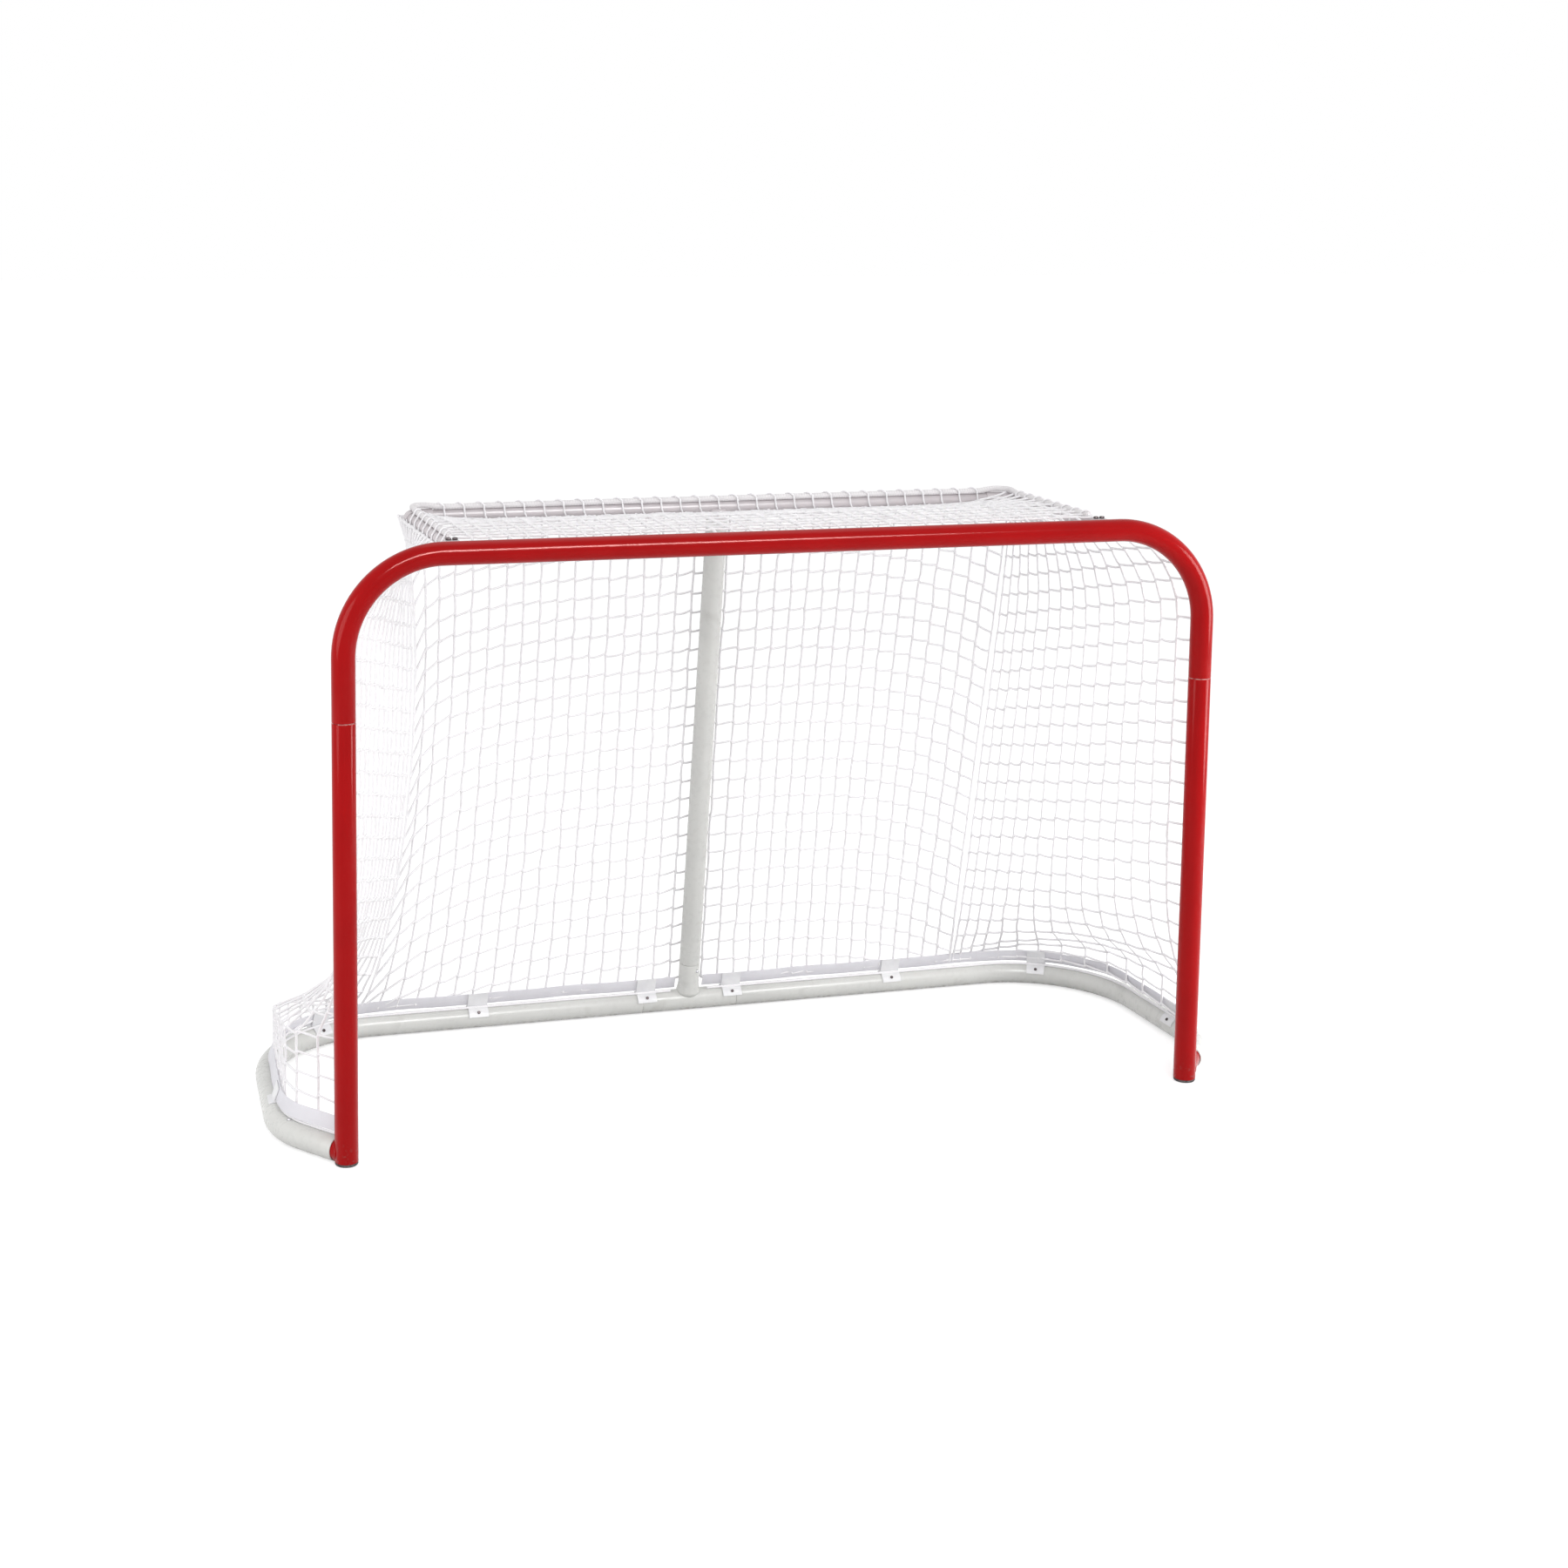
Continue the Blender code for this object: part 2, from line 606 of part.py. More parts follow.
for side, word in SIDES:
    arm_back = RAIL_Y - ELBOW_BEND - ELBOW_SPACE
    path, tangents = straight((side * ARM_X, ARM_FRONT_Y, RAIL_Z), (side * ARM_X, arm_back, RAIL_Z))
    pipe(f"{word}_top_arm", path, tangents, UP, RAIL_R, RAIL_BORE, RAIL_SIDES, RAIL_WHITE)

    # The elbow slips over the ends of the arm and the rail
    near = ELBOW_BEND + ELBOW_LEG
    turns = np.linspace(0, math.pi / 2, ELBOW_STEPS + 1)
    path = [(ARM_X, RAIL_Y - near)]
    for t in turns:
        path.append((ARM_X - ELBOW_BEND * (1 - math.cos(t)), RAIL_Y - ELBOW_BEND * (1 - math.sin(t))))
    path.append((ARM_X - near, RAIL_Y))
    headings = [turns[0], *turns, turns[-1]]
    tangents = [(-side * math.sin(t), math.cos(t), 0) for t in headings]
    path = [(side * x, y, RAIL_Z) for x, y in path]
    pipe(f"{word}_rail_elbow", path, tangents, UP, ELBOW_R, ELBOW_BORE, RAIL_SIDES, RAIL_WHITE)

    x = side * ARM_X
    wide = [(-BRACKET_HALF_X, BRACKET_Z[0]), (BRACKET_HALF_X, BRACKET_Z[0])]
    wide += [(BRACKET_HALF_X, BRACKET_Z[1]), (-BRACKET_HALF_X, BRACKET_Z[1])]
    path, tangents = straight((x, POST_Y + BRACKET_Y[0], 0), (x, POST_Y + BRACKET_Y[1], 0))
    bracket = sweep(f"{word}_arm_bracket", path, tangents, UP, [wide], RAIL_WHITE)
    root = (x, POST_Y + BRACKET_Y[1] - SPIGOT_ROOT, RAIL_Z)
    combine(bracket, turned("spigot", root, BACK, SPIGOT_OUTLINE, TUBE_SIDES, RAIL_WHITE), "UNION")
    drill(bracket, (x, POST_Y, BAR_Z), RIGHT, FRAME_R + GAP, -CUT_HALF, CUT_HALF, CUT_SIDES)
    for at, place in ((-BRACKET_BOLT_X, "inner"), (BRACKET_BOLT_X, "outer")):
        foot = (x + side * at, POST_Y + BRACKET_BOLT_Y, BRACKET_Z[1])
        drill(bracket, foot, UP, BOLT_HOLE_R, *BOLT_HOLE)
        turned(f"{word}_bracket_bolt_{place}", foot, UP, BOLT_OUTLINE, SMALL_SIDES, DARK)

# Net band: a strip over the base tube in two lengths a side, butted inside the corner clips
low, high = np.array(BAND_LOW), np.array(BAND_HIGH)
band_up = unit(high - low)
band_out = np.array([band_up[1], -band_up[0]])


def band_point(rise, offset):
    """A place in the band's cross-section: rise from its low edge, and offset towards the mouth."""
    return low + rise * band_up + offset * band_out


band_height = np.linalg.norm(high - low)
band_ring = [band_point(0, -BAND_T / 2), band_point(0, BAND_T / 2)]
band_ring += [band_point(band_height, BAND_T / 2), band_point(band_height, -BAND_T / 2)]
joint = CLIP_PLACES[1]
for side, word in SIDES:
    lengths = (
        ("side", BAND_START, joint - BAND_JOINT_HALF),
        ("back", joint + BAND_JOINT_HALF, BASE_HALF - BAND_POST_GAP),
    )
    for name, start, end in lengths:
        path, tangents = base_path(start, end, 0.0, side)
        ring = [(side * a, z) for a, z in band_ring]
        sweep(f"{word}_{name}_band", path, tangents, UP, [ring], BAND)

# Clips: a saddle on the tube with two jaws that hold the band, each with one dark screw
jaw_in = BAND_T / 2 + GAP
jaw_out = jaw_in + JAW_T


def tube_place(radius, turn):
    """A place round the base tube in its cross-section, turned up from the side that faces the mouth."""
    return (radius * math.cos(turn), BASE_R + radius * math.sin(turn))


clip_low = BASE_R + GAP
clip_high = clip_low + CLIP_T
clip_ring = [tube_place(clip_low, t) for t in np.linspace(CLIP_FROM, CLIP_TO, 9)]
clip_ring += [tube_place(clip_high, t) for t in np.linspace(CLIP_TO, CLIP_JAW_IN, 3)]
clip_ring += [band_point(JAW_BACK_RISE, -jaw_out), band_point(JAW_BACK_RISE, -jaw_in)]
clip_ring += [band_point(JAW_FLOOR, -jaw_in), band_point(JAW_FLOOR, jaw_in)]
clip_ring += [band_point(JAW_FRONT_RISE, jaw_in), band_point(JAW_FRONT_RISE, jaw_out)]
clip_ring += [tube_place(clip_high, t) for t in np.linspace(CLIP_JAW_OUT, CLIP_FROM, 6)]
under_head = clip_high + GAP
screw_outline = [(0, clip_low), (SCREW_R, clip_low), (SCREW_R, under_head), (SCREW_HEAD_R, under_head)]
screw_outline += [(SCREW_HEAD_R - GAP, under_head + CLIP_T / 2), (0, under_head + CLIP_T * 0.75)]
for side, word in SIDES:
    for number, place in enumerate(CLIP_PLACES, 1):
        path, tangents = [], []
        for s in (place - CLIP_HALF, place, place + CLIP_HALF):
            (px, py), (tx, ty) = base_at(s)
            path.append((side * px, py, 0.0))
            tangents.append((side * tx, ty, 0.0))
        ring = [(side * a, z) for a, z in clip_ring]
        clip = sweep(f"{word}_net_clip_{number}", path, tangents, UP, [ring], CLIP)
        inward = side * np.array([-tangents[1][1], tangents[1][0], 0.0])
        axis = math.cos(SCREW_TURN) * inward + math.sin(SCREW_TURN) * np.array(UP)
        centre = np.array(path[1]) + BASE_R * np.array(UP)
        drill(clip, centre, axis, SCREW_HOLE_R, clip_low - CLIP_T, clip_high + CLIP_T, SCREW_SIDES)
        turned(f"{word}_clip_screw_{number}", centre, axis, screw_outline, SCREW_SIDES, DARK)

# Net: coarse panels that stand for the fine mesh, held a few millimetres off the tubes
side_span = NET_SIDE_CELLS - NET_SHRINK
back_span = NET_BACK_CELLS - 2 * NET_SHRINK


def side_surface(i, j):
    """The left side of the net, from the post to the fold below the rail's elbow."""
    return net_wall_point(i * side_span / NET_SIDE_CELLS, j / NET_HEIGHT_CELLS)


def right_surface(i, j):
    """The right side of the net, the left one mirrored."""
    return side_surface(i, j) * (-1, 1, 1)


def back_surface(i, j):
    """The back of the net, between the two folds."""
    u = NET_SIDE_CELLS + NET_SHRINK + i * back_span / NET_BACK_CELLS
    return net_wall_point(u, j / NET_HEIGHT_CELLS)


def roof_surface(i, j):
    """The roof of the net."""
    return net_roof_point(i / NET_BACK_CELLS, j / NET_TOP_CELLS)


net_panel("left_net_side", side_surface, NET_SIDE_CELLS, NET_HEIGHT_CELLS, CORD)
net_panel("right_net_side", right_surface, NET_SIDE_CELLS, NET_HEIGHT_CELLS, CORD)
net_panel("net_back", back_surface, NET_BACK_CELLS, NET_HEIGHT_CELLS, CORD)
net_panel("net_roof", roof_surface, NET_BACK_CELLS, NET_TOP_CELLS, CORD)
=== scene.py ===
"""Looks of the hockey goal: painted tube, cast and moulded fittings, and a knotted cord net."""

import math

import bmesh
import bpy
import numpy as np
from mathutils import Matrix, Vector


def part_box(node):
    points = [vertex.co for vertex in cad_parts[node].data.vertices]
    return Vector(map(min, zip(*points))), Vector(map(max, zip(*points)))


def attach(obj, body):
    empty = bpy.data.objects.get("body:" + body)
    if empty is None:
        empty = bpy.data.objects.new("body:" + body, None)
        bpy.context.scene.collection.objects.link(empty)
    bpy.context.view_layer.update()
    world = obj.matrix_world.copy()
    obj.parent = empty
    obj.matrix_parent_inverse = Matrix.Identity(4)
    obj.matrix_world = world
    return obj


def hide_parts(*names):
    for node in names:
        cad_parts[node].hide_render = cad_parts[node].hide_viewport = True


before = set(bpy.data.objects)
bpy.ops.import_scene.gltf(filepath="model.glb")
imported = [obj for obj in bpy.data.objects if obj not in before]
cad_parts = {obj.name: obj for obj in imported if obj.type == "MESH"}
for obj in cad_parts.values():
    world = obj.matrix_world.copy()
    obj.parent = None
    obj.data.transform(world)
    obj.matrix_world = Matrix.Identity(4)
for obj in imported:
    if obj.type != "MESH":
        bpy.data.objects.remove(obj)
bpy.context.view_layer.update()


# Studio. A white floor in a white surround, with broad soft lamps in front, at both sides and above,
# and a narrow one that only shows as a streak on gloss. The camera is in front, to the left, and high.
EYE = (-1.6412, -4.9275, 1.9616)
EYE_YAW = math.radians(15.218)
EYE_PITCH = math.radians(-7.256)
EYE_ROLL = math.radians(0.403)
LENS_MM = 55.35
SENSOR_MM = 36.0
EYE_SHIFT = (0.1126, -0.1924)
FLOOR_HALF = 40.0
FLOOR_DROP = 0.0005
FLOOR_COLOUR = (0.64, 0.64, 0.64, 1.0)
FLOOR_LIFT = 0.56
SURROUND_LIGHT = 0.72
GOAL_MIDDLE = (0.0, 0.0, 0.55)
LAMPS = (
    ("front_lamp", (0.6, -4.2, 3.5), (2.6, 1.6), 58.0, True),
    ("streak_lamp", (0.15, -4.2, 3.5), (4.3, 0.7), 480.0, False),
    ("left_lamp", (-3.2, -1.3, 1.5), (1.8, 1.8), 38.0, True),
    ("right_lamp", (3.4, -1.7, 1.1), (1.6, 1.8), 90.0, True),
    ("top_lamp", (0.4, 0.8, 4.6), (3.0, 3.0), 20.0, True),
)


def node(tree, kind, inputs=None, **settings):
    """Adds a shader node. An input given as a socket is linked, and one given as a value is set."""
    made = tree.nodes.new(kind)
    for key, value in settings.items():
        setattr(made, key, value)
    for key, value in (inputs or {}).items():
        if isinstance(value, bpy.types.NodeSocket):
            tree.links.new(value, made.inputs[key])
        else:
            made.inputs[key].default_value = value
    return made


def reckoned(tree, operation, first, second=0.0):
    """The result of one operation on two numbers or sockets."""
    return node(tree, "ShaderNodeMath", {0: first, 1: second}, operation=operation).outputs[0]


def seen_directly(tree):
    """1 for rays from the camera, off gloss and through glass, and 0 for the rays that carry light."""
    path = node(tree, "ShaderNodeLightPath")
    either = reckoned(tree, "MAXIMUM", path.outputs["Is Camera Ray"], path.outputs["Is Glossy Ray"])
    return reckoned(tree, "MAXIMUM", either, path.outputs["Is Transmission Ray"])


world = bpy.data.worlds.new("surround")
world.use_nodes = True
bpy.context.scene.world = world
surround = world.node_tree
extra_light = reckoned(surround, "MULTIPLY", seen_directly(surround), 1.0 - SURROUND_LIGHT)
surround_shader = surround.nodes["Background"]
surround_shader.inputs["Color"].default_value = (1.0, 1.0, 1.0, 1.0)
surround_strength = reckoned(surround, "ADD", extra_light, SURROUND_LIGHT)
surround.links.new(surround_strength, surround_shader.inputs["Strength"])

floor_look = bpy.data.materials.new("studio_floor")
floor_look.use_nodes = True
floor_tree = floor_look.node_tree
floor_shader = floor_tree.nodes["Principled BSDF"]
floor_shader.inputs["Base Color"].default_value = FLOOR_COLOUR
floor_shader.inputs["Roughness"].default_value = 1.0
floor_shader.inputs["Specular IOR Level"].default_value = 0.0
floor_shader.inputs["Emission Color"].default_value = (1.0, 1.0, 1.0, 1.0)
floor_glow = reckoned(floor_tree, "MULTIPLY", seen_directly(floor_tree), FLOOR_LIFT)
floor_tree.links.new(floor_glow, floor_shader.inputs["Emission Strength"])
floor_mesh = bpy.data.meshes.new("studio_floor")
floor_corners = np.array([(-1, -1), (1, -1), (1, 1), (-1, 1)]) * FLOOR_HALF
floor_mesh.from_pydata([(x, y, -FLOOR_DROP) for x, y in floor_corners], [], [(0, 1, 2, 3)])
floor_mesh.materials.append(floor_look)
floor = bpy.data.objects.new("studio_floor", floor_mesh)
bpy.context.scene.collection.objects.link(floor)

for lamp_name, lamp_place, lamp_size, lamp_power, lights_matt in LAMPS:
    lamp = bpy.data.lights.new(lamp_name, "AREA")
    lamp.shape = "ELLIPSE"
    lamp.size, lamp.size_y = lamp_size
    lamp.energy = lamp_power
    holder = bpy.data.objects.new(lamp_name, lamp)
    holder.location = lamp_place
    holder.visible_diffuse = lights_matt
    lamp_aim = Vector(GOAL_MIDDLE) - Vector(lamp_place)
    holder.rotation_euler = lamp_aim.to_track_quat("-Z", "Y").to_euler()
    bpy.context.scene.collection.objects.link(holder)

forward = Vector((math.sin(EYE_YAW), math.cos(EYE_YAW), math.tan(EYE_PITCH))).normalized()
level = Vector((math.cos(EYE_YAW), -math.sin(EYE_YAW), 0.0))
above = level.cross(forward)
eye_right = level * math.cos(EYE_ROLL) + above * math.sin(EYE_ROLL)
eye_top = above * math.cos(EYE_ROLL) - level * math.sin(EYE_ROLL)
camera = bpy.data.cameras.new("camera")
camera.lens = LENS_MM
camera.sensor_width = SENSOR_MM
camera.shift_x, camera.shift_y = EYE_SHIFT
eye = bpy.data.objects.new("camera", camera)
eye_turn = Matrix((eye_right, eye_top, -forward)).transposed().to_4x4()
eye.matrix_world = Matrix.Translation(EYE) @ eye_turn
bpy.context.scene.collection.objects.link(eye)
bpy.context.scene.camera = eye
bpy.context.scene.view_settings.view_transform = "Standard"


# Crossbar. One 48 mm steel tube, bent at both corners and powder coated red, with short legs that
# meet the posts at a ring seam. The coat has a slight orange peel, and is chipped at the seams, with the
# chips painted pale pink as a highlight.
bar_low, bar_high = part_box("crossbar")
SEAM_GAP = 0.0003
FRAME_R = (bar_high.y - bar_low.y) / 2
FRAME_WALL = 0.002
POST_X = bar_high.x - FRAME_R
POST_Y = (bar_high.y + bar_low.y) / 2
BAR_Z = bar_high.z - FRAME_R
SEAM_Z = bar_low.z - SEAM_GAP
BEND_R = 0.200
FRAME_SIDES = 56
BEND_PARTS = 28
TUBE_ROLL = 0.0012
ROLL_PARTS = 4
FINE_PARTS = 6000
ALONG_APART = 0.37
FINE_DETAIL = 6.0
PATCH_LEVELS = (0.35, 0.68)
GLOSS_LEVELS = (0.3, 0.7)
GLOSS_GRAINS = 6
CHIP_SIZE = 0.006
CHIP_LEVELS = (0.42, 0.55)
CHIP_HALF = 0.0007
CHIP_SOFT = 0.0006
SCUFF_Z = (0.008, 0.060)
SCUFF_SIZE = 0.009
SCUFF_LEVELS = (0.56, 0.66)
SCUFF_MATT = 0.25
RED = (0.338, 0.0030, 0.0041)
RED_DEEP = (0.308, 0.0027, 0.0037)
RED_GLOSS = (1.0, 0.66, 0.63, 1.0)
RED_CHIP_HIGHLIGHT = (0.62, 0.30, 0.28)
RED_SCUFF = (0.26, 0.035, 0.035)
UP = np.array([0.0, 0.0, 1.0])
RIGHT = np.array([1.0, 0.0, 0.0])
BACK = np.array([0.0, 1.0, 0.0])


def unit(vectors):
    """Vectors at length one, along the last axis."""
    vectors = np.asarray(vectors, float)
    return vectors / np.linalg.norm(vectors, axis=-1, keepdims=True)


def wheels(path, up, radius, sides, tangent=None):
    """Rings round a path: centre + radius (cos t across + sin t over), with t once round.

    Across is up x tangent at length one, and over is tangent x across. The path is (..., stations, 3),
    and the radius is a number or an array (..., stations) or (..., stations, sides).
    """
    path = np.asarray(path, float)
    if tangent is None:
        tangent = np.gradient(path, axis=-2)
    tangent = unit(np.broadcast_to(tangent, path.shape))
    across = unit(np.cross(up, tangent))
    over = np.cross(tangent, across)
    turn = math.tau * np.arange(sides)[:, None] / sides
    spokes = np.cos(turn) * across[..., None, :] + np.sin(turn) * over[..., None, :]
    radius = np.asarray(radius, float)
    if radius.ndim < path.ndim:
        radius = np.broadcast_to(radius, path.shape[:-1])[..., None]
    return path[..., None, :] + radius[..., None] * spokes


def skin(name, parts, look, loop=False, sharp_deg=40.0):
    """An object skinned over rings of points. A part is (stations, sides, 3), or a batch of such parts.

    Quads join each ring to the next. The last ring joins the first where loop is true, and otherwise a
    face closes each end. The UV map Along holds the share of a turn and the metres along the path, which
    start further on in each part of a batch, so that no two cords show the same stretch of braid.
    """
    points, corners, marks, starts = [], [], [], []
    first_point, first_corner = 0, 0
    for rings in parts:
        rings = rings[None] if rings.ndim == 3 else rings
        batch, rows, sides, _ = rings.shape
        index = first_point + np.arange(batch * rows * sides).reshape(batch, rows, sides)
        nearer, further = (index, np.roll(index, -1, 1)) if loop else (index[:, :-1], index[:, 1:])
        quads = np.stack([nearer, np.roll(nearer, -1, 2), np.roll(further, -1, 2), further], -1)
        centres = rings.mean(2)
        steps = np.linalg.norm(np.diff(centres, axis=1, append=centres[:, :1]), axis=-1)
        along = np.cumsum(np.concatenate([np.arange(batch)[:, None] * ALONG_APART, steps], 1), 1)
        low = np.broadcast_to(along[:, :quads.shape[1], None], quads.shape[:3])
        high = np.broadcast_to(along[:, 1:quads.shape[1] + 1, None], quads.shape[:3])
        turn = np.broadcast_to(np.arange(sides) / sides, quads.shape[:3])
        turns = np.stack([turn, turn + 1 / sides, turn + 1 / sides, turn], -1)
        points.append(rings.ravel())
        corners.append(quads.ravel())
        marks.append(np.stack([turns, np.stack([low, low, high, high], -1)], -1).ravel())
        starts.append(first_corner + np.arange(quads.size // 4) * 4)
        first_corner += quads.size
        if not loop:
            caps = np.concatenate([index[:, 0, ::-1], index[:, -1]])
            corners.append(caps.ravel())
            marks.append(np.zeros(caps.size * 2))
            starts.append(first_corner + np.arange(len(caps)) * sides)
            first_corner += caps.size
        first_point += index.size
    mesh = bpy.data.meshes.new(name)
    mesh.vertices.add(first_point)
    mesh.vertices.foreach_set("co", np.concatenate(points))
    mesh.loops.add(first_corner)
    mesh.loops.foreach_set("vertex_index", np.concatenate(corners))
    starts = np.concatenate(starts)
    mesh.polygons.add(len(starts))
    mesh.polygons.foreach_set("loop_start", starts)
    mesh.update(calc_edges=True)
    mesh.uv_layers.new(name="Along").data.foreach_set("uv", np.concatenate(marks))
    mesh.materials.append(look)
    mesh.shade_smooth()
    mesh.set_sharp_from_angle(angle=math.radians(sharp_deg))
    made = bpy.data.objects.new(name, mesh)
    bpy.context.scene.collection.objects.link(made)
    return made


def bent(start, ahead, aside, marks, headings):
    """Place along a bent tube whose heading changes evenly from mark to mark.

    The direction is cos heading x ahead + sin heading x aside, and the place is its running sum.
    """
    fine = np.linspace(marks[0], marks[-1], FINE_PARTS)

    def direction(distance):
        turn = np.interp(distance, marks, headings)[..., None]
        return np.cos(turn) * ahead + np.sin(turn) * aside

    middles = direction((fine[1:] + fine[:-1]) / 2) * (fine[1] - fine[0])
    line = np.asarray(start) + np.concatenate([np.zeros((1, 3)), np.cumsum(middles, 0)])

    def place(distance):
        path = np.stack([np.interp(distance, fine, line[:, axis]) for axis in range(3)], -1)
        return path, direction(distance)

    return place


def lips(start, end, roll):
    """Distances close-set over the rounded first end of a tube, and over its last."""
    lip = roll * (1 - np.cos(np.linspace(0, math.pi / 2, ROLL_PARTS)))
    return start + lip, end - lip[::-1]


def pipe(place, distance, up, outer, wall, sides, roll=TUBE_ROLL):
    """Rings of an open tube: out along the wall, between quarter-round lips, and back in the bore."""
    path, tangent = place(distance)
    near = np.minimum(distance - distance[0], distance[-1] - distance)
    rounded = outer - roll * (1 - np.sqrt(1 - np.clip(1 - near / roll, 0, 1) ** 2))
    outside = wheels(path, up, rounded, sides, tangent)
    inside = wheels(path, up, outer - wall, sides, tangent)
    return np.concatenate([outside, inside[::-1]])


def ramp(tree, value, low, high, to_low=0.0, to_high=1.0):
    """A value carried from low..high to to_low..to_high and held at the ends."""
    ends = {0: value, 1: low, 2: high, 3: to_low, 4: to_high}
    return node(tree, "ShaderNodeMapRange", ends, clamp=True).outputs[0]


def mixed(tree, factor, first, second):
    """Two colours mixed by a factor. The node's sockets for two colours are 6 and 7."""
    colours = [c if isinstance(c, bpy.types.NodeSocket) else (*c, 1.0) for c in (first, second)]
    made = node(tree, "ShaderNodeMix", {0: factor, 6: colours[0], 7: colours[1]}, data_type="RGBA")
    return made.outputs[2]


def noise(tree, size, detail=3.0, seed=0.0):
    """Soft noise of the given size in metres, on the object's own coordinates moved by the seed."""
    place = node(tree, "ShaderNodeTexCoord").outputs["Object"]
    place = node(tree, "ShaderNodeMapping", {0: place, 1: (seed, seed, seed)}).outputs[0]
    grain = {"Vector": place, "Scale": 1 / size, "Detail": detail}
    return node(tree, "ShaderNodeTexNoise", grain).outputs[0]


def object_axes(tree):
    """The object's own x, y and z as three sockets."""
    place = node(tree, "ShaderNodeTexCoord").outputs["Object"]
    return node(tree, "ShaderNodeSeparateXYZ", {0: place}).outputs


def band_at(tree, value, centre, half, soft):
    """1 within half of a centre and 0 beyond half + soft."""
    away = reckoned(tree, "ABSOLUTE", reckoned(tree, "SUBTRACT", value, centre))
    return ramp(tree, away, half, half + soft, 1.0, 0.0)


def coated(name, colour, deep, rough, patch, grain, relief, extra=None, **fixed):
    """A coated or bare surface: two close colours in soft patches, and a fine grain in gloss and height.

    The patches and the grain are noises of those sizes in metres, and relief is the grain's height.
    The function extra lays further colour and roughness over them. Fixed sets the shader's own sockets.
    """
    look = bpy.data.materials.new(name)
    look.use_nodes = True
    tree = look.node_tree
    shader = tree.nodes["Principled BSDF"]
    base = mixed(tree, ramp(tree, noise(tree, patch), *PATCH_LEVELS), colour, deep)
    gloss = ramp(tree, noise(tree, grain * GLOSS_GRAINS, seed=3.1), *GLOSS_LEVELS, *rough)
    if extra:
        base, gloss = extra(tree, base, gloss)
    height = noise(tree, grain, detail=2.0, seed=7.7)
    bump = node(tree, "ShaderNodeBump", {"Height": height, "Distance": relief, "Strength": 1.0})
    tree.links.new(base, shader.inputs["Base Color"])
    tree.links.new(gloss, shader.inputs["Roughness"])
    tree.links.new(bump.outputs[0], shader.inputs["Normal"])
    for key, value in fixed.items():
        shader.inputs[key.replace("_", " ")].default_value = value
    look.diffuse_color = (*colour, 1.0)
    return look


def frame_wear_and_seam_highlight(tree, base, gloss):
    """Chips where two tubes meet, painted pale pink as the seam's highlight, and grey scuffs at the
    foot.
    """
    z = object_axes(tree)[2]
    chip_highlight_spots = ramp(tree, noise(tree, CHIP_SIZE, seed=1.3), *CHIP_LEVELS)
    edge = reckoned(tree, "MULTIPLY", band_at(tree, z, SEAM_Z, CHIP_HALF, CHIP_SOFT), chip_highlight_spots)
    # Painted highlight: the chip spots along the seam are pale pink, as the seam's bright spots.
    base = mixed(tree, edge, base, RED_CHIP_HIGHLIGHT)
    low = ramp(tree, z, *SCUFF_Z, 1.0, 0.0)
    patches = ramp(tree, noise(tree, SCUFF_SIZE, FINE_DETAIL, seed=5.2), *SCUFF_LEVELS)
    scuff = reckoned(tree, "MULTIPLY", low, patches)
    base = mixed(tree, scuff, base, RED_SCUFF)
    return base, reckoned(tree, "ADD", gloss, reckoned(tree, "MULTIPLY", scuff, SCUFF_MATT))


def place_on(piece, nodes, body="goal"):
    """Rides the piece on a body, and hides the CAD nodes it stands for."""
    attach(piece, body)
    if nodes:
        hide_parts(*nodes)


red_coat = coated(
    "red_powder_coat", RED, RED_DEEP, rough=(0.12, 0.17), patch=0.11, grain=0.0022, relief=0.00004,
    extra=frame_wear_and_seam_highlight, Specular_IOR_Level=0.14, Specular_Tint=RED_GLOSS
)
bar_leg = BAR_Z - BEND_R - bar_low.z
bar_arc = BEND_R * math.pi / 2
bar_marks = np.cumsum([0, bar_leg, bar_arc, 2 * (POST_X - BEND_R), bar_arc, bar_leg])
bar_headings = np.radians([90, 90, 0, 0, -90, -90])
bar_line = bent((-POST_X, POST_Y, bar_low.z), RIGHT, UP, bar_marks, bar_headings)
bar_first, bar_last = lips(0.0, bar_marks[-1], TUBE_ROLL)
bar_bends = [np.linspace(*bar_marks[k:k + 2], BEND_PARTS) for k in (1, 3)]
bar_stations = np.concatenate([bar_first, *bar_bends, bar_last])
bar_rings = pipe(bar_line, bar_stations, BACK, FRAME_R, FRAME_WALL, FRAME_SIDES)
place_on(skin("red_crossbar", [bar_rings], red_coat, loop=True), ["crossbar"])


# Posts. Two straight red tubes under the crossbar's legs, each on a hidden steel sleeve that spans
# the seam. A moulded rubber plug with a thin rim closes each foot and stands on the floor.
post_low, post_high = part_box("right_post")
PLUG_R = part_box("right_foot_plug")[1].x - POST_X
PLUG_BORE_R = 0.0210
PLUG_PROFILE = (
    (0.0085, 0.0012), (0.0100, 0.0), (0.0195, 0.0), (0.0222, 0.0005), (0.0233, 0.0018),
    (PLUG_R, 0.0032), (PLUG_R, 0.0047), (0.0231, 0.0055), (0.0214, 0.0058), (PLUG_BORE_R, 0.0062),
    (PLUG_BORE_R, 0.0270), (0.0200, 0.0280),
)
PLUG_BLACK = (0.030, 0.026, 0.028)
PLUG_DUST = (0.110, 0.095, 0.092)
STEEL = (0.52, 0.52, 0.54)
STEEL_DULL = (0.40, 0.40, 0.42)
OFF_AXIS = (0.31, 0.95, 0.07)
MIRROR = np.array([-1.0, 1.0, 1.0])


def lathe(base, axis, profile, sides):
    """Rings of a turned piece: base + height x axis, each with the profile's radius at that height."""
    radius, height = np.array(profile, float).T
    axis = unit(axis)
    centres = np.asarray(base) + height[:, None] * axis
    return wheels(centres, np.cross(axis, OFF_AXIS), radius, sides, axis)


def mirrored(rings):
    """The same rings on the other side, taken the other way round so that faces still look out."""
    return (rings * MIRROR)[..., ::-1, :]


